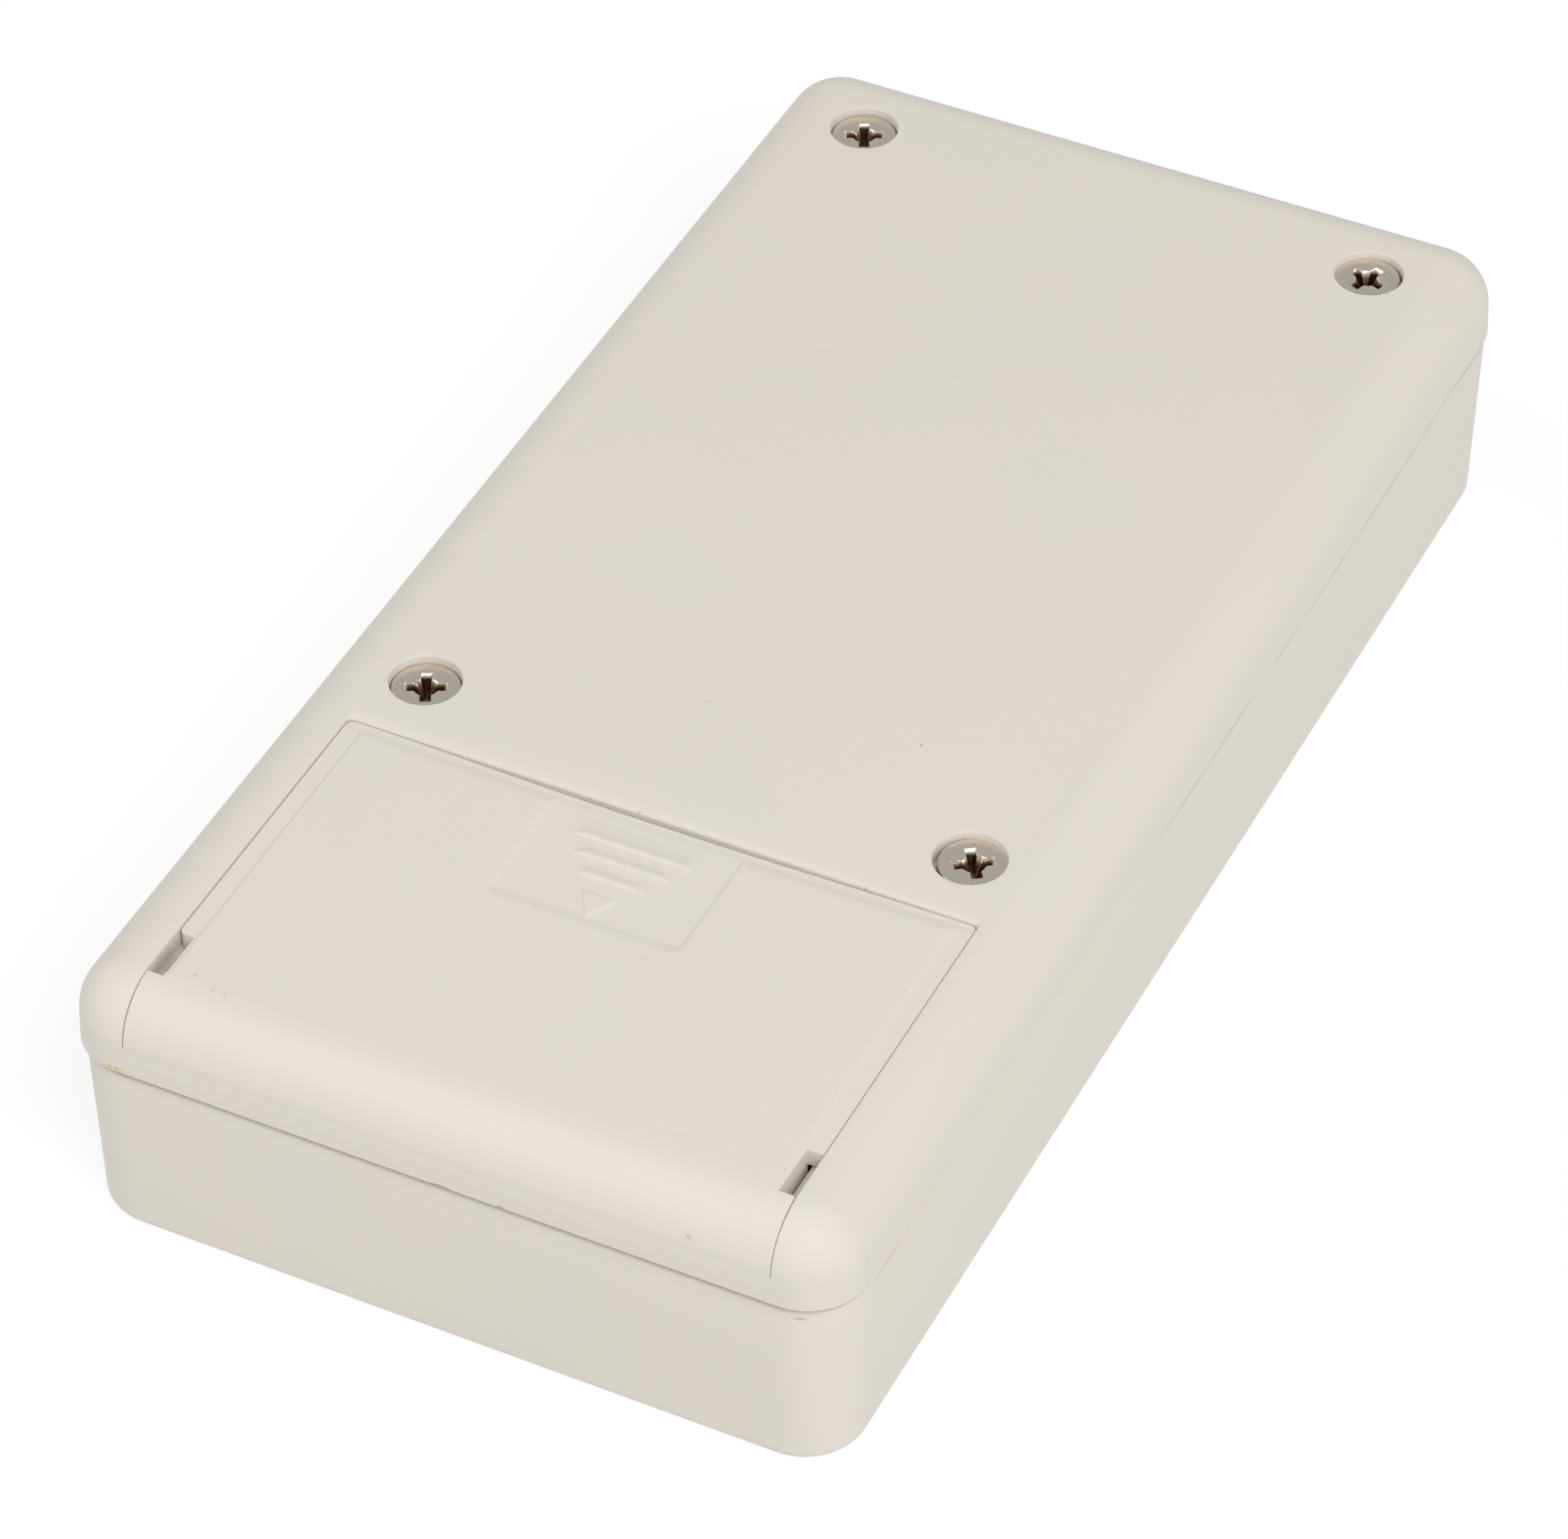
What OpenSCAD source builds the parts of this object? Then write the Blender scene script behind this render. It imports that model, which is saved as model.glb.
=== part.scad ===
// Handheld instrument enclosure: two moulded shells held by four screws, with a sliding
// battery lid that wraps over the rounded end of the rear shell.
// Millimetres. The front face lies on z = 0 and the rear side faces +Z. The battery end
// faces -Y, and the lid slides off along -Y.

/* [Case] */
// Width of the case at the split line
case_w = 73.8; // [70:0.1:90]
// Length of the case at the split line
case_l = 147.8; // [135:0.1:180]
// Height of the front shell, from its face to the split line
front_h = 19.5; // [17:0.1:26]
// Height of the rear shell, from the split line to its top
rear_h = 8.1; // [7.6:0.1:11]
// Wall thickness of both shells
wall = 2.2; // [1.8:0.1:2.6]
// Radius of the rounded edge round the rear side
edge_r = 5.2; // [4.6:0.1:5.8]
// Corner radius of the flat rear side, inside the rounded edge
top_corner_r = 0.3; // [0.2:0.1:3]
// Draft of the rear shell's walls, in degrees
rear_draft = 2.5; // [0.5:0.5:4]
// Vertical corner radius of the front shell at the split line
front_corner_r = 6.2; // [4:0.1:8]
// Draft of the front shell's walls, in degrees
front_draft = 1.5; // [0.5:0.5:3]
// Radius of the edge round the front face
front_edge_r = 1.2; // [0.6:0.1:2]
// Distance that the front shell is set in from the rear shell at the split line
split_step = 0.08; // [0:0.02:0.2]
// The same distance at the battery end
near_step = 0.3; // [0:0.02:0.4]
// Thickness of the lip that keys the rear shell into the front shell
lip_t = 1; // [0.8:0.1:1.2]
// Height of that lip below the split line
lip_h = 1.6; // [1:0.1:2.4]
// Clearance between the lip and its rebate
lip_gap = 0.15; // [0.05:0.05:0.3]

/* [Case screws] */
// Distance from the case's side to a screw axis
screw_side = 10.4; // [9.5:0.1:12]
// Distance from the far end to the far screws' axes
screw_end = 10.3; // [9.5:0.1:14]
// Distance from the lid opening to the near screws' axes
lid_to_screw = 7.1; // [6.5:0.1:10]
// Outer diameter of the screw's thread
screw_d = 2.9; // [2.5:0.1:3.2]
// Overall length of the screw
screw_l = 16; // [14:0.5:18]
// Diameter of the flat screw head
head_d = 6; // [5.4:0.1:6.4]
// Height of the head's straight rim
head_rim = 0.3; // [0.2:0.05:0.5]
// Depth of the head's flat below the rear side
head_depth = 0.8; // [0.5:0.1:1.2]
// Radial clearance round the head in its recess
head_gap = 0.35; // [0.2:0.05:0.5]
// Clearance of the shank, the thread and the conical seat
screw_gap = 0.06; // [0.04:0.01:0.12]
// Diameter of the clearance hole through a rear pillar
pillar_hole_d = 3.4; // [3.4:0.1:3.8]
// Diameter of a rear pillar
pillar_d = 9; // [8.4:0.1:10]
// Distance that a rear pillar reaches below the split line
pillar_drop = 2.5; // [2:0.1:4]
// Diameter of a front boss
boss_d = 7.4; // [6.4:0.1:9]
// Depth of the screw hole in a front boss
boss_hole_l = 9; // [8:0.5:12]
// Gap between a front boss and the rear pillar above it
boss_gap = 0.1; // [0.05:0.05:0.3]
// Span of the cross recess in a screw head
cross_span = 3.8; // [2.8:0.1:4]
// Width of the cross recess's arms
cross_w = 1; // [0.6:0.05:1.1]
// Depth of the cross recess
cross_depth = 1; // [0.8:0.1:1.2]

/* [Board bosses] */
// Spacing of the board bosses across the case
board_dx = 50; // [40:1:52]
// Spacing of the board bosses along the case
board_dy = 64; // [50:1:70]
// Diameter of a board boss
board_boss_d = 6; // [5:0.1:7]
// Height of a board boss above the floor
board_boss_h = 4; // [3:0.1:6]
// Diameter of the pilot hole in a board boss
board_hole_d = 2.2; // [1.8:0.1:2.5]

/* [Battery well] */
// Diameter of one cell
cell_d = 14.5; // [14:0.1:15]
// Length of one cell
cell_l = 50.5; // [49:0.1:52]
// Side clearance of each cell
cell_gap = 0.7; // [0.4:0.05:1]
// Room under the lid above the cells
cell_headroom = 0.6; // [0.4:0.1:1]
// Room for a contact at each end of the cells
contact_room = 3.35; // [3:0.05:4]
// Distance from the near end of the case to the well
well_inset = 6.3; // [6:0.1:8]
// Distance from the well to the far edge of the lid opening
lid_far_margin = 3; // [2.8:0.1:4]
// Distance from the well to the side of the lid opening
lid_side_margin = 1.85; // [1.7:0.05:2.2]
// Thickness of the well's walls and floor
well_wall = 1.5; // [1.2:0.1:1.8]
// Width of the rib between the cells
cradle_w = 1; // [0.8:0.1:1.4]
// Height of the rib between the cells
cradle_h = 2.5; // [1.5:0.1:4]

/* [Battery lid] */
// Thickness of the lid
lid_t = 1.9; // [1.6:0.1:2.2]
// Clearance between the lid and its opening
lid_gap = 0.2; // [0.1:0.05:0.3]
// Distance that the lid wraps down over the near end
wrap_h = 5.05; // [4.6:0.05:5.4]
// Radius of the lid's far corners
lid_corner_r = 0.8; // [0.4:0.1:1.4]
// Radius of the opening's rounded far edge
opening_edge_r = 1.2; // [0.6:0.1:1.6]
// Width of the lowered border along each side of the lid
border_side = 1.6; // [1.2:0.1:2.4]
// Width of the lowered border along the far edge of the lid
border_far = 1.8; // [1.2:0.1:2.4]
// Depth of the lowered border and of the grip patch
border_depth = 0.5; // [0.3:0.05:0.7]
// Distance from the near end to the notch in each side of the lid
notch_near = 4.95; // [4.6:0.05:5.6]
// Length of the notch
notch_l = 5.3; // [4.5:0.1:7]
// Width of the notch
notch_w = 1.4; // [1.2:0.05:1.6]
// Width of the ledge under each side of the lid
ledge_w = 1.25; // [1:0.05:1.35]
// Thickness of that ledge
ledge_t = 1.15; // [1:0.05:1.3]
// Clearance between the ledge and the lid above it
ledge_gap = 0.2; // [0.15:0.05:0.25]
// Clearance round the hooks and tongues that hold the lid down
hook_gap = 0.3; // [0.25:0.05:0.35]
// Thickness of the hooks' legs and feet
hook_t = 1.2; // [1:0.05:1.3]
// Width of one of the two far tongues
tongue_w = 8; // [5:0.5:12]
// Distance of the tongues from the lid's centre line
tongue_x = 14; // [10:0.5:16]
// Distance that the tongues reach under the shell
tongue_l = 1.3; // [1:0.1:2]

/* [Grip patch] */
// Width of the grip patch
patch_w = 17.7; // [14:0.1:24]
// Length of the grip patch, from the lid's far border
patch_l = 11.9; // [11:0.1:16]
// Length of the longest rib
rib_l = 10.9; // [8:0.1:12.5]
// Difference in length from one rib to the next
rib_fall = 2.4; // [1.5:0.1:3]
// Spacing of the ribs
rib_pitch = 2.2; // [1.8:0.1:2.4]
// Distance from the lid's far border to the first rib
rib_start = 2.4; // [1.5:0.1:3]
// Radius of the ribs
rib_r = 0.3; // [0.2:0.05:0.4]
// Width of the raised arrow
arrow_w = 3.6; // [2.5:0.1:5]
// Length of the raised arrow
arrow_l = 2.9; // [2:0.1:3]

/* [Battery contacts] */
// Thickness of a contact plate
plate_t = 0.4; // [0.3:0.05:0.5]
// Width of a contact plate at one cell
plate_w = 10; // [8:0.1:11]
// Height of a contact plate above the well's floor
plate_h = 11; // [9:0.1:12]
// Width of the solder tab under a plate
tab_w = 3; // [2:0.1:4]
// Length of the solder tab below the well's floor
tab_l = 2.5; // [1.5:0.1:3]
// Clearance of a plate in its slot and guides
plate_gap = 0.1; // [0.05:0.05:0.2]
// Width of the guide ribs beside a plate
guide_w = 1; // [0.8:0.1:1.2]
// Diameter of the raised positive contact
bump_d = 4.6; // [3.5:0.1:5.5]
// Height of the raised positive contact
bump_h = 1.2; // [0.8:0.1:1.5]
// Diameter of the spring's wire
wire_d = 0.6; // [0.5:0.05:0.7]
// Diameter of the spring at its base, at the middle of the wire
spring_base_d = 8; // [7:0.1:9]
// Diameter of the spring at its tip, at the middle of the wire
spring_tip_d = 4.6; // [4:0.1:5.5]
// Free length of the spring, between the middles of its end turns
spring_l = 5.6; // [4.5:0.1:6.5]
// Number of turns in the spring
spring_turns = 4; // [3:1:5]

/* [Hidden] */
$fn = 64;
IVORY = [0.86, 0.84, 0.8];
NICKEL = [0.68, 0.65, 0.6];
// Overrun of a cut past the face it opens
over = 1;
case_h = front_h + rear_h;
// Drafted sizes go to the nearest micrometre, so that walls and arcs meet at the same points
function snap(v) = round(v * 1000) / 1000;

// Rear shell's corner radius at the split line, grown from the flat top by arc and draft
corner_r = snap(top_corner_r + edge_r + (rear_h - edge_r) * tan(rear_draft));
front_w = case_w - 2 * split_step;
front_l = case_l - split_step - near_step;
lip_in = wall - lip_t;

// Battery well and lid opening, seen from the near end
near_y = -case_l / 2;
well_x = cell_l + 2 * contact_room;
well_y = 2 * cell_d + 3 * cell_gap;
well_near_y = near_y + well_inset;
well_far_y = well_near_y + well_y;
well_mid_y = (well_near_y + well_far_y) / 2;
well_floor_z = case_h - lid_t - cell_headroom - cell_d;
cell_pitch = cell_d + cell_gap;
cell_axis_z = well_floor_z + cell_d / 2;
open_w = well_x + 2 * lid_side_margin;
open_far_y = well_far_y + lid_far_margin;
pocket_z = case_h - wrap_h - lid_gap;
pocket_floor_t = well_wall;

// Screw axes
screw_x = case_w / 2 - screw_side;
far_screw_y = case_l / 2 - screw_end;
near_screw_y = open_far_y + lid_to_screw;
screw_mid_y = (far_screw_y + near_screw_y) / 2;
pillar_z = front_h - pillar_drop;
boss_z = pillar_z - boss_gap;
head_z = case_h - head_depth;
cone_h = (head_d - screw_d) / 2;
tip_l = screw_d * 0.6;
// Turn of each cross recess, in degrees: far left, far right, near left, near right
screw_turns = [25, 71, 26, 35];

// Lid
lid_w = open_w - 2 * lid_gap;
lid_far_y = open_far_y - lid_gap;
lid_l = lid_far_y - near_y;
panel_w = lid_w - 2 * border_side;
panel_far_y = lid_far_y - border_far;
notch_near_y = near_y + notch_near;
notch_far_y = notch_near_y + notch_l;
notch_in_x = lid_w / 2 - notch_w;
border_z = case_h - border_depth;
lid_under_z = case_h - lid_t;
ledge_top_z = lid_under_z - ledge_gap;
ledge_in_x = open_w / 2 - ledge_w;
foot_top_z = ledge_top_z - ledge_t - hook_gap;
hook_leg_x = min(notch_in_x, ledge_in_x - hook_gap);
foot_out_x = open_w / 2 - hook_gap;
tongue_top_z = case_h - wall - hook_gap;
tongue_far_y = open_far_y + tongue_l;
tongue_root_y = lid_far_y - border_far;

// A point of the screw pattern: i counts far left, far right, near left, near right
function screw_at(i) = [(i % 2 == 0 ? -1 : 1) * screw_x, i < 2 ? far_screw_y : near_screw_y];

// Outer section of the rear shell's wall, set in by a parallel distance: the drafted wall,
// then the edge arc, with the corner's axis on x = 0
module rear_section(inset) {
    arc_r = edge_r - inset;
    arc_x = top_corner_r;
    arc_z = case_h - edge_r;
    polygon([
        [0, front_h], [corner_r - inset, front_h], [arc_x + arc_r, arc_z],
        [arc_x, case_h - inset], [0, case_h - inset]
    ]);
    intersection() {
        translate([arc_x, arc_z]) circle(r = arc_r);
        translate([arc_x, arc_z]) square([edge_r, edge_r]);
    }
}

// Outer section of the front shell's wall, set in by a parallel distance and with the
// stated edge radius at its foot
module front_section(inset, foot_r, top_z) {
    slope = tan(front_draft);
    arc_z = inset + foot_r;
    arc_x = snap(front_corner_r - inset - slope * (front_h - arc_z)) - foot_r;
    wall_x = snap(front_corner_r - inset + slope * (top_z - front_h));
    polygon([
        [0, inset], [arc_x, inset], [arc_x + foot_r, arc_z], [wall_x, top_z], [0, top_z]
    ]);
    intersection() {
        translate([arc_x, arc_z]) circle(r = foot_r);
        translate([arc_x, inset]) square([foot_r, foot_r]);
    }
}

// A block whose four sides and corners carry one wall section; children() is that section
// and the middle is filled from low to high
module round_block(w, l, r, low, high) {
    for (i = [0, 2]) {
        rotate([0, 0, 90 * i])
            translate([w / 2 - r, 0, 0])
                rotate([90, 0, 0]) linear_extrude(l - 2 * r, center = true) children();
        rotate([0, 0, 90 * i + 90])
            translate([l / 2 - r, 0, 0])
                rotate([90, 0, 0]) linear_extrude(w - 2 * r, center = true) children();
    }
    for (i = [0 : 3]) {
        x = (i == 0 || i == 3 ? 1 : -1) * (w / 2 - r);
        y = (i < 2 ? 1 : -1) * (l / 2 - r);
        translate([x, y, 0]) rotate([0, 0, 90 * i]) rotate_extrude(angle = 90) children();
    }
    translate([-w / 2 + r, -l / 2 + r, low]) cube([w - 2 * r, l - 2 * r, high - low]);
}

// A straight-sided block with round vertical corners
module round_prism(w, l, r, low, high) {
    round_block(w, l, r, low, high) translate([0, low]) square([r, high - low]);
}

module rear_form(inset) {
    round_block(case_w, case_l, corner_r, front_h, case_h - inset) rear_section(inset);
}

module front_form(inset, foot_r, top_z) {
    translate([0, (near_step - split_step) / 2, 0])
        round_block(front_w, front_l, front_corner_r, inset, top_z) front_section(inset, foot_r, top_z);
}

// A box between two corners
module span(low, high) {
    translate(low) cube(high - low);
}

// The lip's plan, grown outwards by the stated distance
module lip_block(grow, low, high) {
    inset = lip_in - grow;
    round_prism(case_w - 2 * inset, case_l - 2 * inset, corner_r - inset, low, high);
}

// Lid's plan with round far corners, grown outwards by the stated distance
module lid_plan(grow) {
    r = lid_corner_r + grow;
    half = lid_w / 2 + grow;
    far_y = lid_far_y + grow;
    translate([-half, near_y - over]) square([2 * half, lid_l + grow + over - r]);
    translate([-half + r, far_y - 2 * r]) square([2 * half - 2 * r, 2 * r]);
    for (side = [-1, 1])
        translate([side * (half - r), far_y - r]) circle(r = r);
}

// Recess for a flat-headed screw: straight bore, conical seat and clearance hole
module screw_recess() {
    seat_r = head_d / 2 + screw_gap;
    translate([0, 0, head_z - head_rim]) cylinder(r = head_d / 2 + head_gap, h = head_depth + head_rim + over);
    translate([0, 0, head_z - head_rim - cone_h])
        cylinder(r1 = seat_r - cone_h, r2 = seat_r, h = cone_h);
    translate([0, 0, pillar_z - over]) cylinder(d = pillar_hole_d, h = head_z - pillar_z);
}

module well_solid() {
    // Well round the cells
    span(
        [-well_x / 2 - well_wall, well_near_y - well_wall, well_floor_z - well_wall],
        [well_x / 2 + well_wall, well_far_y + well_wall, pocket_z]
    );
    // Pocket that the lid's hooks and tongues slide in
    span(
        [-open_w / 2 - well_wall, near_y + wall, pocket_z - pocket_floor_t],
        [open_w / 2 + well_wall, tongue_far_y + hook_gap + well_wall, case_h - wall / 2]
    );
}

module well_hollow() {
    span(
        [-well_x / 2, well_near_y, well_floor_z],
        [well_x / 2, well_far_y, case_h + over]
    );
    translate([0, 0, pocket_z]) linear_extrude(case_h + over - pocket_z) lid_plan(lid_gap);
    for (side = [-1, 1])
        span(
            [side * tongue_x - tongue_w / 2 - hook_gap, open_far_y - over, pocket_z],
            [side * tongue_x + tongue_w / 2 + hook_gap, tongue_far_y + hook_gap, case_h - wall]
        );
}

// Ledges that the lid slides on, along both sides of the opening
module ledges() {
    for (side = [0, 1])
        mirror([side, 0, 0])
            span(
                [ledge_in_x, notch_near_y, ledge_top_z - ledge_t],
                [open_w / 2 + well_wall / 2, open_far_y + well_wall / 2, ledge_top_z]
            );
}

// Guide ribs, one each side of every plate, and the rib between the cells
module well_ribs() {
    foot_z = well_floor_z - well_wall / 2;
    top_z = well_floor_z + plate_h * 0.7;
    half = plate_w / 2 + plate_gap;
    for (y = [-cell_pitch / 2 - half - guide_w, cell_pitch / 2 + half])
        for (side = [0, 1])
            mirror([side, 0, 0])
                span(
                    [well_x / 2 - 3 * plate_t, well_mid_y + y, foot_z],
                    [well_x / 2 + well_wall / 2, well_mid_y + y + guide_w, top_z]
                );
    span(
        [-cell_l / 2 + bump_d, well_mid_y - cradle_w / 2, foot_z],
        [cell_l / 2 - bump_d, well_mid_y + cradle_w / 2, well_floor_z + cradle_h]
    );
}

// Slots in the well's floor for the plates' solder tabs
module tab_slots() {
    for (x = [-1, 1])
        for (y = [-1, 1])
            translate([
                x * (well_x / 2 - plate_t / 2 - plate_gap / 2),
                well_mid_y + y * cell_pitch / 2,
                well_floor_z - well_wall / 2
            ])
                cube([plate_t + plate_gap, tab_w + 2 * plate_gap, well_wall + 2 * over], center = true);
}

// Rounding of the opening's far edge: the square edge goes, and a quarter round stays
module opening_edge_cut() {
    difference() {
        span(
            [-open_w / 2, open_far_y - over, case_h - opening_edge_r],
            [open_w / 2, open_far_y + opening_edge_r, case_h + over]
        );
        translate([0, open_far_y + opening_edge_r, case_h - opening_edge_r])
            rotate([0, 90, 0]) cylinder(r = opening_edge_r, h = open_w + 2 * over, center = true);
    }
}

module rear_shell() {
    color(IVORY)
        difference() {
            union() {
                difference() {
                    union() {
                        rear_form(0);
                        lip_block(0, front_h - lip_h, front_h);
                    }
                    rear_form(wall);
                    round_prism(
                        case_w - 2 * wall, case_l - 2 * wall, corner_r - wall,
                        front_h - lip_h - over, front_h
                    );
                }
                well_solid();
                for (i = [0 : 3])
                    translate([screw_at(i)[0], screw_at(i)[1], pillar_z])
                        cylinder(d = pillar_d, h = case_h - wall / 2 - pillar_z);
            }
            difference() {
                well_hollow();
                ledges();
                well_ribs();
            }
            tab_slots();
            opening_edge_cut();
            for (i = [0 : 3])
                translate([screw_at(i)[0], screw_at(i)[1], 0]) screw_recess();
        }
}

module front_shell() {
    hole_r = screw_d / 2 + screw_gap;
    color(IVORY)
        difference() {
            union() {
                difference() {
                    front_form(0, front_edge_r, front_h);
                    front_form(wall, front_edge_r, front_h + over);
                    lip_block(lip_gap, front_h - lip_h - lip_gap, front_h + over);
                }
                for (i = [0 : 3])
                    translate([screw_at(i)[0], screw_at(i)[1], wall / 2])
                        cylinder(d = boss_d, h = boss_z - wall / 2);
                for (x = [-1, 1])
                    for (y = [-1, 1])
                        translate([x * board_dx / 2, screw_mid_y + y * board_dy / 2, wall / 2])
                            cylinder(d = board_boss_d, h = wall / 2 + board_boss_h);
            }
            for (i = [0 : 3])
                translate([screw_at(i)[0], screw_at(i)[1], boss_z - boss_hole_l])
                    cylinder(r = hole_r, h = boss_hole_l + over);
            for (x = [-1, 1])
                for (y = [-1, 1])
                    translate([x * board_dx / 2, screw_mid_y + y * board_dy / 2, wall])
                        cylinder(d = board_hole_d, h = board_boss_h + over);
        }
}

// Section of the lid along the case: the flat panel and the wrap over the rounded end
module lid_section() {
    run = lid_l - corner_r + over;
    intersection() {
        difference() {
            union() {
                rear_section(0);
                translate([-run, front_h]) square([run, rear_h]);
            }
            rear_section(lid_t);
            translate([-run - over, front_h - over]) square([run + over, rear_h - lid_t + over]);
        }
        translate([-run, case_h - wrap_h]) square([run + corner_r + over, wrap_h]);
    }
}

// The lowered border and the grip patch, cut down from the lid's top
module lid_recess() {
    difference() {
        span([-lid_w / 2 - over, notch_near_y, border_z], [lid_w / 2 + over, lid_far_y + over, case_h + over]);
        span([-panel_w / 2, notch_near_y - over, 0], [panel_w / 2, panel_far_y, case_h + 2 * over]);
    }
    span(
        [-patch_w / 2, panel_far_y - patch_l, border_z],
        [patch_w / 2, panel_far_y + over, case_h + over]
    );
}

// Ribs and arrow that stand on the grip patch
module grip_relief() {
    for (i = [0 : 2])
        translate([0, panel_far_y - rib_start - i * rib_pitch, border_z])
            rotate([0, 90, 0]) cylinder(r = rib_r, h = rib_l - i * rib_fall, center = true);
    arrow_y = panel_far_y - patch_l + arrow_l + rib_r;
    translate([0, arrow_y, border_z - rib_r])
        linear_extrude(2 * rib_r)
            polygon([[-arrow_w / 2, 0], [arrow_w / 2, 0], [0, -arrow_l]]);
}

// Hooks under the notches and tongues at the far edge, which keep the lid down
module lid_hooks() {
    root_z = lid_under_z + lid_t / 4;
    for (side = [0, 1])
        mirror([side, 0, 0]) {
            span(
                [hook_leg_x - hook_t, notch_near_y + lid_gap, foot_top_z - hook_t],
                [hook_leg_x, notch_far_y - lid_gap, root_z]
            );
            span(
                [hook_leg_x - hook_t, notch_near_y + lid_gap, foot_top_z - hook_t],
                [foot_out_x, notch_far_y - lid_gap, foot_top_z]
            );
            span(
                [tongue_x - tongue_w / 2, tongue_root_y, tongue_top_z - hook_t],
                [tongue_x + tongue_w / 2, lid_far_y - hook_gap, root_z]
            );
            span(
                [tongue_x - tongue_w / 2, tongue_root_y, tongue_top_z - hook_t],
                [tongue_x + tongue_w / 2, tongue_far_y, tongue_top_z]
            );
        }
}

module battery_lid() {
    color(IVORY) {
        difference() {
            intersection() {
                translate([0, near_y + corner_r, 0])
                    rotate([90, 0, -90]) linear_extrude(lid_w, center = true) lid_section();
                linear_extrude(case_h + over) lid_plan(0);
            }
            lid_recess();
            for (side = [0, 1])
                mirror([side, 0, 0])
                    span([notch_in_x, notch_near_y, front_h], [lid_w / 2 + over, notch_far_y, case_h + over]);
        }
        grip_relief();
        lid_hooks();
    }
}

// Flat-headed screw with its head's flat on z = 0; the thread is its outer cylinder
module case_screw(turn) {
    difference() {
        union() {
            translate([0, 0, -head_rim]) cylinder(d = head_d, h = head_rim);
            translate([0, 0, -head_rim - cone_h]) cylinder(d1 = screw_d, d2 = head_d, h = cone_h);
            translate([0, 0, -screw_l + tip_l]) cylinder(d = screw_d, h = screw_l - tip_l - head_rim - cone_h);
            translate([0, 0, -screw_l]) cylinder(d1 = screw_d / 4, d2 = screw_d, h = tip_l);
        }
        for (quarter = [0, 90])
            rotate([0, 0, turn + quarter])
                translate([0, 0, -cross_depth / 2])
                    cube([cross_span, cross_w, cross_depth + over / 2], center = true);
    }
}

module case_screws() {
    color(NICKEL)
        for (i = [0 : 3])
            translate([screw_at(i)[0], screw_at(i)[1], head_z]) case_screw(screw_turns[i]);
}

// Contact plate against the well's end wall, from y_low to y_high, with solder tabs
module contact_plate(y_low, y_high, tabs) {
    back_x = well_x / 2;
    span([back_x - plate_t, y_low, well_floor_z], [back_x, y_high, well_floor_z + plate_h]);
    for (y = tabs)
        span(
            [back_x - plate_t, y - tab_w / 2, well_floor_z - well_wall - tab_l],
            [back_x, y + tab_w / 2, well_floor_z]
        );
}

// Raised positive contact on the plate at the stated cell
module contact_bump(y) {
    translate([well_x / 2 - plate_t, y, cell_axis_z])
        rotate([0, -90, 0]) cylinder(d1 = bump_d, d2 = bump_d * 0.7, h = bump_h);
}

near_cell_y = well_mid_y - cell_pitch / 2;
far_cell_y = well_mid_y + cell_pitch / 2;

module link_plate() {
    color(NICKEL)
        mirror([1, 0, 0]) {
            contact_plate(near_cell_y - plate_w / 2, far_cell_y + plate_w / 2, [near_cell_y, far_cell_y]);
            contact_bump(far_cell_y);
        }
}

module positive_plate() {
    color(NICKEL) {
        contact_plate(near_cell_y - plate_w / 2, near_cell_y + plate_w / 2, [near_cell_y]);
        contact_bump(near_cell_y);
    }
}

module negative_plate() {
    color(NICKEL)
        contact_plate(far_cell_y - plate_w / 2, far_cell_y + plate_w / 2, [far_cell_y]);
}

// Tapered coil along +Z: rings of points round the wire's middle line
ring_sides = 6;
rings_per_turn = 14;
function coil_point(t, a) =
    let (
        turn = 360 * spring_turns * t,
        mid_r = (spring_base_d + (spring_tip_d - spring_base_d) * t) / 2,
        r = mid_r + wire_d / 2 * cos(a)
    )
    [r * cos(turn), r * sin(turn), spring_l * t + wire_d / 2 * sin(a)];

module coil() {
    rings = spring_turns * rings_per_turn;
    points = [
        for (i = [0 : rings])
            for (j = [0 : ring_sides - 1])
                coil_point(i / rings, 360 * j / ring_sides)
    ];
    sides = [
        for (i = [0 : rings - 1])
            for (j = [0 : ring_sides - 1])
                let (a = i * ring_sides + j, b = i * ring_sides + (j + 1) % ring_sides)
                [a, b, b + ring_sides, a + ring_sides]
    ];
    first = [for (j = [ring_sides - 1 : -1 : 0]) j];
    last = [for (j = [0 : ring_sides - 1]) rings * ring_sides + j];
    polyhedron(points, concat(sides, [first, last]));
}

module contact_springs() {
    seat = well_x / 2 - plate_t - plate_gap - wire_d / 2;
    color(NICKEL) {
        translate([seat, far_cell_y, cell_axis_z]) rotate([0, -90, 0]) coil();
        translate([-seat, near_cell_y, cell_axis_z]) rotate([0, 90, 0]) coil();
    }
}

front_shell();
rear_shell();
battery_lid();
case_screws();
link_plate();
positive_plate();
negative_plate();
contact_springs();
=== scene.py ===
import math

import bmesh
import bpy
import numpy as np
from mathutils import Matrix, Vector
from mathutils.geometry import delaunay_2d_cdt


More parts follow.
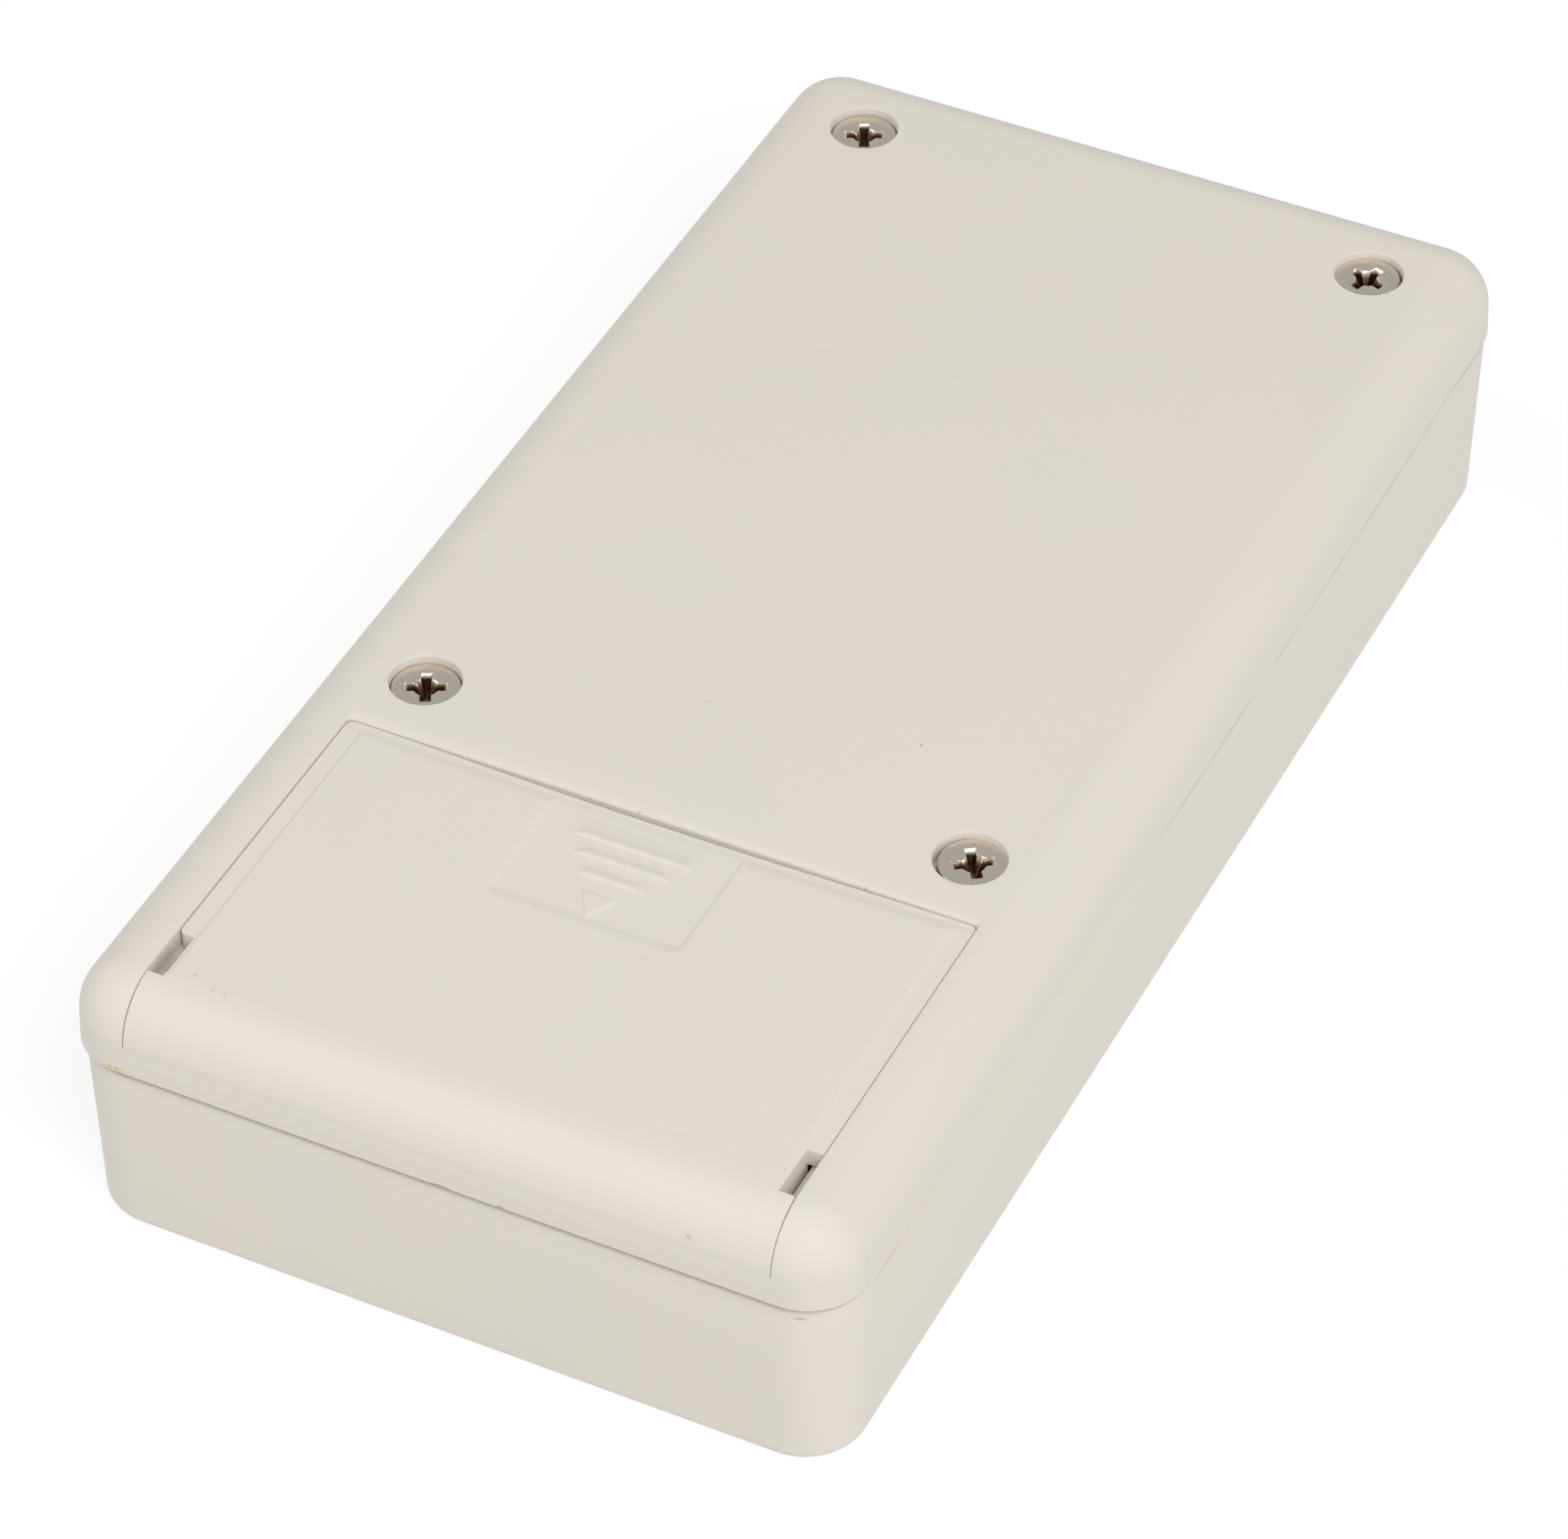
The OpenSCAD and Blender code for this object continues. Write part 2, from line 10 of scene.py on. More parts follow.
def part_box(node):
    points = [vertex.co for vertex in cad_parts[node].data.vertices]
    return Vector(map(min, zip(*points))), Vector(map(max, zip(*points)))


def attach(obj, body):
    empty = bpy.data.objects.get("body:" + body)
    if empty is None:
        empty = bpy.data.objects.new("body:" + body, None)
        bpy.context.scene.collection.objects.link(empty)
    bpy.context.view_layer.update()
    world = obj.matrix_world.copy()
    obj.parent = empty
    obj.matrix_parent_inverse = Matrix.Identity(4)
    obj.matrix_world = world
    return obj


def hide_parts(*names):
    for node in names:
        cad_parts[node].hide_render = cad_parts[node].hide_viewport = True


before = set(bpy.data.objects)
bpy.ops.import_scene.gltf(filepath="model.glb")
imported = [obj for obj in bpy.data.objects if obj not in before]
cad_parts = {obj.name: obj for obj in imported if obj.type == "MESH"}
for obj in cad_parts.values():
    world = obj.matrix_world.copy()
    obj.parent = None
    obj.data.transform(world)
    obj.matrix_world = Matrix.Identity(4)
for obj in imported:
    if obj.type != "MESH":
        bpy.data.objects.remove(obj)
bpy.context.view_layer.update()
print("frame loaded:", ", ".join(sorted(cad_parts)))

# Shapes are worked out in millimetres and put into the meshes in metres
mm = 0.001
joinWithin, sliverWithin = 0.002, 0.0005  # points this close are one, edges this short go


def nodeBox(node):
    # Lowest and highest corner of a CAD node, in millimetres
    low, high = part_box(node)
    return np.array(low) / mm, np.array(high) / mm


rearHigh = nodeBox("rear_shell")[1]
frontLow, frontHigh = nodeBox("front_shell")
lidLow, lidHigh = nodeBox("battery_lid")
screwsLow, screwsHigh = nodeBox("case_screws")


# Surfaces: a sheet is (points, faces), and a piece is a list of sheets whose edges meet

def gridSheet(points):
    # Rows and columns of points: each cell joins a point, its neighbour in the row and both in the next row
    rows, cols = points.shape[:2]
    i = np.arange(rows * cols).reshape(rows, cols)
    quads = np.stack([i[:-1, :-1], i[:-1, 1:], i[1:, 1:], i[1:, :-1]], -1)
    return points.reshape(-1, 3), quads.reshape(-1, 4)


def flatSheet(loops, axes=(0, 1)):
    # Flat face between closed loops, the first outside and the others holes: triangles join their points
    points = np.concatenate(loops)
    ends = np.cumsum([0] + [len(loop) for loop in loops])
    edges = [np.stack([np.arange(a, b), np.roll(np.arange(a, b), -1)], -1) for a, b in zip(ends, ends[1:])]
    edges = np.concatenate(edges)
    corners, _, faces, _, _, _ = delaunay_2d_cdt(points[:, axes].tolist(), edges.tolist(), [], 1, 1e-6)
    filled = np.tile(points[0], (len(corners), 1))
    filled[:, axes] = np.array(corners)

    # A triangle is kept where a line from its middle crosses the loops an odd number of times
    faces = np.array(faces)
    mid = filled[faces][:, :, axes].mean(1)[:, None]
    a, b = points[edges[:, 0]][:, axes], points[edges[:, 1]][:, axes]
    spans = (a[:, 1] > mid[..., 1]) != (b[:, 1] > mid[..., 1])
    rise = np.where(a[:, 1] == b[:, 1], 1.0, b[:, 1] - a[:, 1])
    crossing = a[:, 0] + (mid[..., 1] - a[:, 1]) / rise * (b[:, 0] - a[:, 0])
    inside = (spans & (crossing > mid[..., 0])).sum(1) % 2 == 1
    return filled, faces[inside]


def smooth(t):
    # Rises from 0 to 1 with a level start and end: three t squared less two t cubed
    t = np.clip(t, 0, 1)
    return t * t * (3 - 2 * t)


def arcRow(x, z, r, start, end, steps):
    # Points on an arc, from one angle to another in degrees
    t = np.radians(np.linspace(start, end, steps + 1))
    return np.stack([x + r * np.cos(t), z + r * np.sin(t)], -1)


def lathe(section, x=0.0, y=0.0, steps=64):
    # Section of (radius, height) carried round a vertical axis
    turn = np.linspace(0, 2 * math.pi, steps + 1)
    ring = np.stack([np.cos(turn), np.sin(turn)], -1)
    plan = section[:, None, :1] * ring[None] + np.array([x, y])
    height = np.broadcast_to(section[:, None, 1:], plan.shape[:2] + (1,))
    return gridSheet(np.concatenate([plan, height], -1))


def roundBox(low, high, r, steps=2):
    # Box with rounded edges: a point on the box goes back to the inner box, then out by r along the same line
    low, high = np.minimum(low, high), np.maximum(low, high)
    lean = r * np.tan(np.radians(np.linspace(45, 0, steps + 1)))
    sheets = []
    for axis in range(3):
        for end in (low, high):
            u, v = [a for a in range(3) if a != axis]
            lines = [np.concatenate([low[a] + r - lean, high[a] - r + lean[::-1]]) for a in (u, v)]
            points = np.empty((len(lines[0]), len(lines[1]), 3))
            points[..., u], points[..., v] = np.meshgrid(*lines, indexing="ij")
            points[..., axis] = end[axis]
            core = np.clip(points, low + r, high - r)
            away = points - core
            sheets.append(gridSheet(core + r * away / np.linalg.norm(away, axis=-1, keepdims=True)))
    return sheets


def ringRow(low, high, r, z, steps=5):
    # Rectangle with round corners at one height, once round
    turn = np.radians(np.linspace(0, 90, steps + 1))
    (lowX, lowY), (highX, highY) = np.array(low) + r, np.array(high) - r
    corners = np.array([[highX, lowY], [highX, highY], [lowX, highY], [lowX, lowY]])
    angle = np.concatenate([turn + math.pi / 2 * (corner - 1) for corner in range(4)])
    plan = np.repeat(corners, steps + 1, axis=0) + r * np.stack([np.cos(angle), np.sin(angle)], -1)
    row = np.column_stack([plan, np.full(len(plan), z)])
    return np.concatenate([row, row[:1]])


def casePath(axisX, nearY, farY, startX, cornerSteps):
    # Walk round the case, from +startX on the near side to -startX: corner axes and the outward direction
    turn = np.linspace(0, math.pi / 2, cornerSteps + 1)
    axes = np.array([[axisX, nearY], [axisX, farY], [-axisX, farY], [-axisX, nearY]])
    base = np.repeat(axes, cornerSteps + 1, axis=0)
    angle = np.concatenate([turn + math.pi / 2 * (corner - 1) for corner in range(4)])
    out = np.stack([np.cos(angle), np.sin(angle)], -1)
    near = np.array([[0.0, -1.0]])
    base = np.concatenate([[[startX, nearY]], base, [[-startX, nearY]]])
    return base, np.concatenate([near, out, near])


def sweep(base, out, section):
    # Section carried along the path: base + section x times the outward direction, at the section's height
    plan = base[None] + section[:, None, :1] * out[None]
    height = np.broadcast_to(section[:, None, 1:], plan.shape[:2] + (1,))
    return np.concatenate([plan, height], -1)


def tightenEdge(grid, rows, base, out, corner):
    # Edge rows drawn in towards the sharp corner as the walk turns to the sides: full share at the ends
    sharp = np.column_stack([base + corner[0] * out, np.full(len(base), corner[1])])
    share = 1 - (1 - case["sideTight"]) * np.abs(out[:, :1])
    grid[rows] = sharp + (grid[rows] - sharp) * share


def closedMesh(sheets):
    # Joins the sheets of one solid at their common edges and turns its faces outwards
    starts = np.cumsum([0] + [len(points) for points, _ in sheets])
    points = np.concatenate([points for points, _ in sheets]) * mm
    faces = [face for start, (_, part) in zip(starts, sheets) for face in (part + start).tolist()]
    mesh = bpy.data.meshes.new("solid")
    mesh.from_pydata(points, [], faces)
    work = bmesh.new()
    work.from_mesh(mesh)
    bmesh.ops.remove_doubles(work, verts=work.verts, dist=joinWithin * mm)
    bmesh.ops.dissolve_degenerate(work, dist=sliverWithin * mm, edges=work.edges)
    bmesh.ops.recalc_face_normals(work, faces=work.faces)
    openEdges = sum(1 for edge in work.edges if len(edge.link_faces) != 2)
    work.to_mesh(mesh)
    work.free()
    return mesh, openEdges


def makePiece(name, solids, body, nodes, material, sharp=40):
    # One object from its solids, each a list of sheets, handed to its body
    joined = bmesh.new()
    openEdges = 0
    for sheets in solids:
        solid, left = closedMesh(sheets)
        joined.from_mesh(solid)
        openEdges += left
        bpy.data.meshes.remove(solid)
    mesh = bpy.data.meshes.new(name)
    joined.to_mesh(mesh)
    joined.free()
    mesh.shade_smooth()
    mesh.set_sharp_from_angle(angle=math.radians(sharp))
    mesh.materials.append(material)
    piece = bpy.data.objects.new(name, mesh)
    bpy.context.scene.collection.objects.link(piece)
    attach(piece, body)
    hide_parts(*nodes)
    print(f"{name}: {len(mesh.vertices)} points, {len(mesh.polygons)} faces, {openEdges} open edges")
    return piece


# Materials

def nodeMaterial(name):
    material = bpy.data.materials.new(name)
    material.use_nodes = True
    tree = material.node_tree
    shader = tree.nodes["Principled BSDF"]
    coords = tree.nodes.new("ShaderNodeTexCoord")
    return material, tree, shader, coords.outputs["Object"]


def addNode(tree, kind, links=(), **settings):
    node = tree.nodes.new(kind)
    for key, value in settings.items():
        setattr(node, key, value)
    for socket, value in links:
        if isinstance(value, bpy.types.NodeSocket):
            tree.links.new(value, node.inputs[socket])
        else:
            node.inputs[socket].default_value = value
    return node


def noiseOn(tree, place, size, detail, rough=0.5):
    # Noise with a pattern about size millimetres across
    node = addNode(
        tree, "ShaderNodeTexNoise",
        [("Vector", place), ("Scale", 1 / (size * mm)), ("Detail", detail), ("Roughness", rough)],
    )
    return node.outputs["Fac"]


def mapRange(tree, value, start, end, low=0.0, high=1.0):
    # The range from start to end becomes low to high, and both ends hold
    ranges = [("From Min", start), ("From Max", end), ("To Min", low), ("To Max", high)]
    return addNode(tree, "ShaderNodeMapRange", [("Value", value)] + ranges).outputs["Result"]


def combine(tree, operation, *values):
    return addNode(tree, "ShaderNodeMath", enumerate(values), operation=operation).outputs[0]


def mixColour(tree, share, first, second):
    links = [("Factor", share), ("A", first), ("B", second)]
    return addNode(tree, "ShaderNodeMix", links, data_type="RGBA").outputs["Result"]


def bumpNormal(tree, height, depth):
    links = [("Height", height), ("Strength", 1.0), ("Distance", depth * mm)]
    return addNode(tree, "ShaderNodeBump", links).outputs["Normal"]


plastic = {
    "colour": (0.741, 0.691, 0.614, 1),
    "cool": (0.729, 0.691, 0.629, 1),
    "cloudSize": 18.0,
    "grainSize": 0.36,
    "grainDepth": 0.012,
    "roughness": (0.54, 0.68),
    "specular": 0.30,
    "sheen": 0.22,
    "sheenRoughness": 0.25,
    "ragged": (0.9, -0.45),
    "markEdge": (0.55, 1.15),
    "markHigh": 0.2,
}

# Painted shade under the rear shell's overhang and grime in the joint between the shells, by height on the
# wall and along the case
splitShadeAndGrime = {
    "from": frontHigh[2] - 0.92,
    "full": frontHigh[2] - 0.37,
    "end": frontHigh[2] + 0.01,
    "over": frontHigh[2] + 0.04,
    "sideY": -67.5,
    "nearY": -71.5,
    "near": 0.58,
    "side": 0.30,
    "cleanY": (-14.0, -6.0),
    "patch": 9.0,
    "patchRange": (0.36, 0.56),
    "colour": (0.33, 0.27, 0.19, 1),
}

# Small marks seen in the photo: place, half sizes along and across, turn, colour and strength
ink, rust = (0.10, 0.09, 0.08, 1), (0.36, 0.22, 0.11, 1)
straw, slotShade = (0.66, 0.58, 0.36, 1), (0.30, 0.285, 0.25, 1)
shellMarks = (
    ((36.24, -40.23, 23.9), (0.16, 0.16), 0, ink, 0.75),
    ((16.62, -15.17, 27.6), (0.13, 0.11), 0, ink, 0.70),
    ((-2.22, 32.23, 27.6), (0.14, 0.10), 30, ink, 0.35),
    ((-15.1, 30.63, 27.6), (1.40, 0.07), 13, ink, 0.16),
    ((-2.67, -18.08, 27.6), (0.80, 0.22), 20, ink, 0.07),
    ((-1.75, -33.38, 27.5), (0.13, 0.10), 0, ink, 0.60),
    ((19.96, -33.5, 27.3), (0.07, 0.35), 0, ink, 0.45),
    ((2.42, -73.88, 22.3), (0.65, 0.10), 8, rust, 0.30),
    ((0.14, -73.88, 19.55), (1.10, 0.09), 0, rust, 0.70),
    ((5.70, -73.88, 19.6), (0.35, 0.10), 0, rust, 0.55),
    ((-31.63, -73.86, 19.89), (0.13, 0.13), 0, rust, 0.75),
    ((-30.92, -73.86, 19.93), (0.13, 0.13), 0, rust, 0.75),
    ((-29.45, -73.86, 19.6), (0.10, 0.10), 0, rust, 0.60),
    ((-31.3, -73.84, 19.72), (1.50, 0.42), 0, straw, 0.60),
    ((33.0, -72.9, 18.1), (0.65, 0.24), 25, rust, 0.80),
    # darker lines low on the right wall, below the split, drawn in the rust colour
    ((36.6, -64.3, 18.5), (3.4, 0.36), 90, rust, 0.26),
    ((36.65, -57.0, 18.68), (6.5, 0.30), 90, rust, 0.11),
    ((36.8, 58.5, 19.45), (10.0, 0.30), 90, rust, 0.26),
    # painted shade in the left slot, on its wall and floor
    ((-30.6, -66.3, 26.0), (3.3, 1.1), 90, slotShade, 0.50),
    ((-33.25, -67.58, 27.2), (0.20, 0.14), 0, ink, 0.15),
    ((14.0, -73.88, 24.0), (0.10, 0.10), 0, ink, 0.25),
)
lidMarks = (
    ((4.71, -39.54, 27.1), (0.10, 0.10), 0, ink, 0.35),
    ((5.40, -41.66, 27.1), (0.13, 0.11), 0, rust, 0.60),
    ((6.79, -49.57, 27.6), (0.11, 0.08), 20, ink, 0.50),
    ((-6.39, -37.79, 27.1), (0.14, 0.10), 0, ink, 0.35),
    ((-26.2, -67.75, 27.6), (0.26, 0.11), 55, ink, 0.30),
    ((-23.95, -68.74, 27.6), (0.16, 0.12), 0, rust, 0.40),
    ((-22.86, -68.75, 27.6), (0.16, 0.12), 0, rust, 0.40),
    ((11.77, -35.04, 27.2), (0.06, 0.40), 0, ink, 0.22),
    ((18.88, -66.86, 27.6), (0.50, 0.18), 30, ink, 0.08),
    ((23.14, -73.7, 23.77), (0.30, 0.30), 0, ink, 0.28),
)


def shellPlastic(name, marks):
    p, j = plastic, splitShadeAndGrime
    material, tree, shader, place = nodeMaterial(name)
    link = tree.links.new
    cloud = noiseOn(tree, place, p["cloudSize"], 3.0)
    colour = mixColour(tree, cloud, p["colour"], p["cool"])
    grain = noiseOn(tree, place, p["grainSize"], 2.0, 0.6)

    # Painted shade under the overhang and grime: strongest just under the split, steady at the battery end,
    # broken up on the far part of the sides
    where = addNode(tree, "ShaderNodeSeparateXYZ", [("Vector", place)]).outputs
    below = mapRange(tree, where["Z"], j["from"] * mm, j["full"] * mm)
    above = mapRange(tree, where["Z"], j["end"] * mm, j["over"] * mm, 1.0, 0.0)
    band = combine(tree, "MULTIPLY", below, above)
    steady = mapRange(tree, where["Y"], j["sideY"] * mm, j["nearY"] * mm, 0.0, j["near"])
    patchy = noiseOn(tree, place, j["patch"], 4.0)
    broken = mapRange(tree, patchy, *j["patchRange"], 0.0, j["side"])
    fade = mapRange(tree, where["Y"], *[y * mm for y in j["cleanY"]])
    strength = combine(tree, "MAXIMUM", steady, combine(tree, "MULTIPLY", broken, fade))
    colour = mixColour(tree, combine(tree, "MULTIPLY", band, strength), colour, j["colour"])

    # Marks: distance from each place in units of its half sizes, with a ragged edge
    ragged = combine(tree, "MULTIPLY_ADD", grain, *p["ragged"])
    for spot, (along, across), turn, shade, strength in marks:
        size = (along * mm, across * mm, max(across, p["markHigh"]) * mm)
        middle = [v * mm for v in spot]
        lie = (0, 0, math.radians(turn))
        links = [("Vector", place), ("Location", middle), ("Rotation", lie), ("Scale", size)]
        local = addNode(tree, "ShaderNodeMapping", links, vector_type="TEXTURE").outputs["Vector"]
        away = addNode(tree, "ShaderNodeVectorMath", [("Vector", local)], operation="LENGTH").outputs["Value"]
        edge = combine(tree, "ADD", away, ragged)
        cover = mapRange(tree, edge, *p["markEdge"], strength, 0.0)
        colour = mixColour(tree, cover, colour, shade)

    link(colour, shader.inputs["Base Color"])
    link(mapRange(tree, grain, 0.0, 1.0, *p["roughness"]), shader.inputs["Roughness"])
    link(bumpNormal(tree, grain, p["grainDepth"]), shader.inputs["Normal"])
    shader.inputs["Specular IOR Level"].default_value = p["specular"]
    shader.inputs["Sheen Weight"].default_value = p["sheen"]
    shader.inputs["Sheen Roughness"].default_value = p["sheenRoughness"]
    return material


nickel = {
    "colour": (0.94, 0.865, 0.77, 1),
    "worn": (0.70, 0.625, 0.54, 1),
    "shadeAndDirt": (0.15, 0.085, 0.045, 1),
    "roughness": (0.18, 0.32),
    "wearSize": 0.5,
    "wearRange": (0.25, 0.75),
    "wearDepth": 0.003,
    "shadeAndDirtFrom": 0.1,
    "shadeAndDirtTo": 0.5,
    "shadeAndDirtShare": 0.9,
}


def nickelPlate(name, headTop=None):
    n = nickel
    material, tree, shader, place = nodeMaterial(name)
    link = tree.links.new
    wear = noiseOn(tree, place, n["wearSize"], 4.0, 0.65)
    colour = mixColour(tree, wear, n["colour"], n["worn"])
    if headTop:
        # Painted shade and brown dirt low in the cross, darker deeper below the flat of the head
        height = addNode(tree, "ShaderNodeSeparateXYZ", [("Vector", place)]).outputs["Z"]
        start, end = (headTop - n["shadeAndDirtFrom"]) * mm, (headTop - n["shadeAndDirtTo"]) * mm
        deep = mapRange(tree, height, start, end, 0.0, n["shadeAndDirtShare"])
        colour = mixColour(tree, deep, colour, n["shadeAndDirt"])
    link(colour, shader.inputs["Base Color"])
    link(mapRange(tree, wear, *n["wearRange"], *n["roughness"]), shader.inputs["Roughness"])
    link(bumpNormal(tree, wear, n["wearDepth"]), shader.inputs["Normal"])
    shader.inputs["Metallic"].default_value = 1.0
    return material


shellMaterial = shellPlastic("shellPlastic", shellMarks)
lidMaterial = shellPlastic("lidPlastic", lidMarks)
screwMaterial = nickelPlate("screwNickel", screwsHigh[2])
contactMaterial = nickelPlate("contactNickel")
print("materials made")


# Case sizes that both shells and the lid share
case = {
    "halfW": rearHigh[0],
    "halfL": rearHigh[1],
    "top": rearHigh[2],
    "split": frontHigh[2],
    "lipFoot": 17.9,
    "lipT": 1.0,
    "wall": 2.2,
    "edgeR": 5.2,
    "flatCorner": 0.3,
    "draft": 2.5,
    "splitEdge": 0.12,
    "sideTight": 0.35,
    "lead": 0.2,
}
case["arcTop"] = case["top"] - case["edgeR"]
lean = math.radians(case["draft"])
arcFoot = case["edgeR"] * np.array([math.cos(lean), math.sin(lean)]) + [case["flatCorner"], case["arcTop"]]
cornerR = arcFoot[0] + (arcFoot[1] - case["split"]) * math.tan(lean)
axisX, axisY = case["halfW"] - cornerR, case["halfL"] - cornerR

# Lid and opening
lid = {
    "halfW": lidHigh[0] + 0.105,
    "farY": -33.68,
    "bow": (0.45, 6.0),
    "gap": 0.095,
    "thick": 1.9,
    "wrapFoot": lidLow[2] - 0.08,
    "footGap": 0.012,
    "footEdge": 0.03,
    "edge": 0.1,
    "panelHalf": 28.35,
    "panelFar": -35.55,
    "sideLow": 0.16,
    "sideRamp": 0.35,
    "farLow": 0.22,
    "farRamp": 1.4,
    "notchFar": -63.65,
    "notchNear": -68.95,
    "notchHalf": 28.85,
    "farCornerR": (0.8, 0.5),
    "tabCornerR": (0.6, 0.25),
    "wrapCornerR": 0.25,
}
opening = {
    "halfW": lid["halfW"] + lid["gap"],
    "farY": -33.5,
    "foot": lid["wrapFoot"] - lid["footGap"],
    "footEdge": 0.03,
    "cornerR": 0.55,
    "wrapEdge": 0.06,
    "sideEdge": 0.2,
    "farEdge": 0.85,
    "farDrop": 0.4,
    "fade": (0.45, 0.5),
    "shift": 0.19,
    "slideX": 0.3,
    "slideY": (-31.0, 1.5),
}
lid["shift"] = opening["shift"] + 0.01
cadHeadR = 3.0  # the CAD box of the screws reaches this far past their axes
screws = {
    "x": screwsHigh[0] - cadHeadR,
    "farY": screwsHigh[1] - cadHeadR,
    "nearY": screwsLow[1] + cadHeadR,
    "headR": 3.12,
    "headTop": screwsHigh[2],
    "recessR": 3.27,
    "recessEdge": 0.14,
    "recessDrop": 0.35,
    "foot": screwsLow[2],
}
screwPlaces = [(side * screws["x"], y) for y in (screws["farY"], screws["nearY"]) for side in (-1, 1)]


# Rear shell

def wallSection():
    # Wall leaning in by the draft from the split, a quarter arc to the flat top, and the normal at each point
    o = opening
    level = np.array([case["split"] + case["splitEdge"], o["foot"] - o["footEdge"], o["foot"]])
    wallX = arcFoot[0] + (arcFoot[1] - level) * math.tan(lean)
    wall = np.stack([wallX, level], -1)
    arcSteps = 24
    angles = np.linspace(case["draft"], 90, arcSteps + 1)
    arc = arcRow(case["flatCorner"], case["arcTop"], case["edgeR"], case["draft"], 90, arcSteps)
    leadIn = np.array([[case["flatCorner"] - case["lead"], case["top"]]])
    turn = np.radians(np.concatenate([np.full(len(level), case["draft"]), angles, [90]]))
    return np.concatenate([wall, arc, leadIn]), np.stack([np.cos(turn), np.sin(turn)], -1)


def openingRim(section, normals, atFoot):
    # Edge of the lid opening, once round: its corner points, the way back from it and the surface's normal
    o = opening
    up = section[atFoot:]
    count, cornerCount = len(up), 13
    halfW, farY, r = o["halfW"], o["farY"], o["cornerR"]
    side = np.stack([np.full(count, halfW), -axisY - up[:, 0], up[:, 1]], -1)
    sideNormal = np.stack([np.zeros(count), -normals[atFoot:, 0], normals[atFoot:, 1]], -1)
    turn = np.radians(np.linspace(0, 90, cornerCount))
    back = np.stack([np.cos(turn), np.sin(turn), np.zeros(cornerCount)], -1)
    corner = np.array([halfW - r, farY - r, case["top"]]) + r * back
    ease = smooth(turn / turn[-1])
    upright = np.arctan2(normals[atFoot:, 1], normals[atFoot:, 0]) / (math.pi / 2)
    fade = smooth((upright - o["fade"][0]) / o["fade"][1])
    along = o["wrapEdge"] + (o["sideEdge"] - o["wrapEdge"]) * fade
    wide = o["sideEdge"] + (o["farEdge"] - o["sideEdge"]) * ease
    drop = o["sideEdge"] + (o["farDrop"] - o["sideEdge"]) * ease
    down = np.array([0, -math.sin(lean), -math.cos(lean)])
    aside = down + [o["wrapEdge"] / o["footEdge"], 0, 0]
    foot = np.array([halfW, side[0, 1], side[0, 2]])
    sideBack = np.tile([1.0, 0, 0], (count, 1))
    right = {
        "edge": np.concatenate([[foot, foot], side, corner]),
        "back": np.concatenate([[down, aside], sideBack, back]),
        "normal": np.concatenate([
            sideNormal[:1], sideNormal[:1], sideNormal, np.tile([0, 0, 1.0], (cornerCount, 1)),
        ]),
    }
    mirror = np.array([-1.0, 1, 1])
    rim = {key: np.concatenate([value, value[::-1] * mirror, value[:1]]) for key, value in right.items()}
    for key, last in (("wide", wide), ("drop", drop)):
        half = np.concatenate([np.full(2, o["footEdge"]), along, last])
        rim[key] = np.concatenate([half, half[::-1], half[:1]])[:, None]
    rim["along"] = along
    rim["flat"] = slice(count + 1, len(half) * 2 - count - 1)
    return rim


def rimRow(rim, angle):
    # Quarter round from the surface over into the opening: back by wide (1 - sin), down by drop (1 - cos)
    back = rim["wide"] * (1 - math.sin(angle)) * rim["back"]
    return rim["edge"] + back - rim["drop"] * (1 - math.cos(angle)) * rim["normal"]


def slideOpening(sheet):
    # Points round the opening move across by its shift: all of them up to the side walls and the recesses
    points, faces = sheet
    startY, lengthY = opening["slideY"]
    share = np.clip((axisX - np.abs(points[:, 0])) / opening["slideX"], 0, 1)
    share = share * np.clip((startY - points[:, 1]) / lengthY, 0, 1)
    return points + opening["shift"] * share[:, None] * np.array([1.0, 0, 0]), faces


def recessRow(r, z, steps=64):
    # Circle at one height round each screw
    turn = np.linspace(0, 2 * math.pi, steps, endpoint=False)
    ring = np.stack([r * np.cos(turn), r * np.sin(turn), np.full(steps, z)], -1)
    return [ring + [x, y, 0] for x, y in screwPlaces]


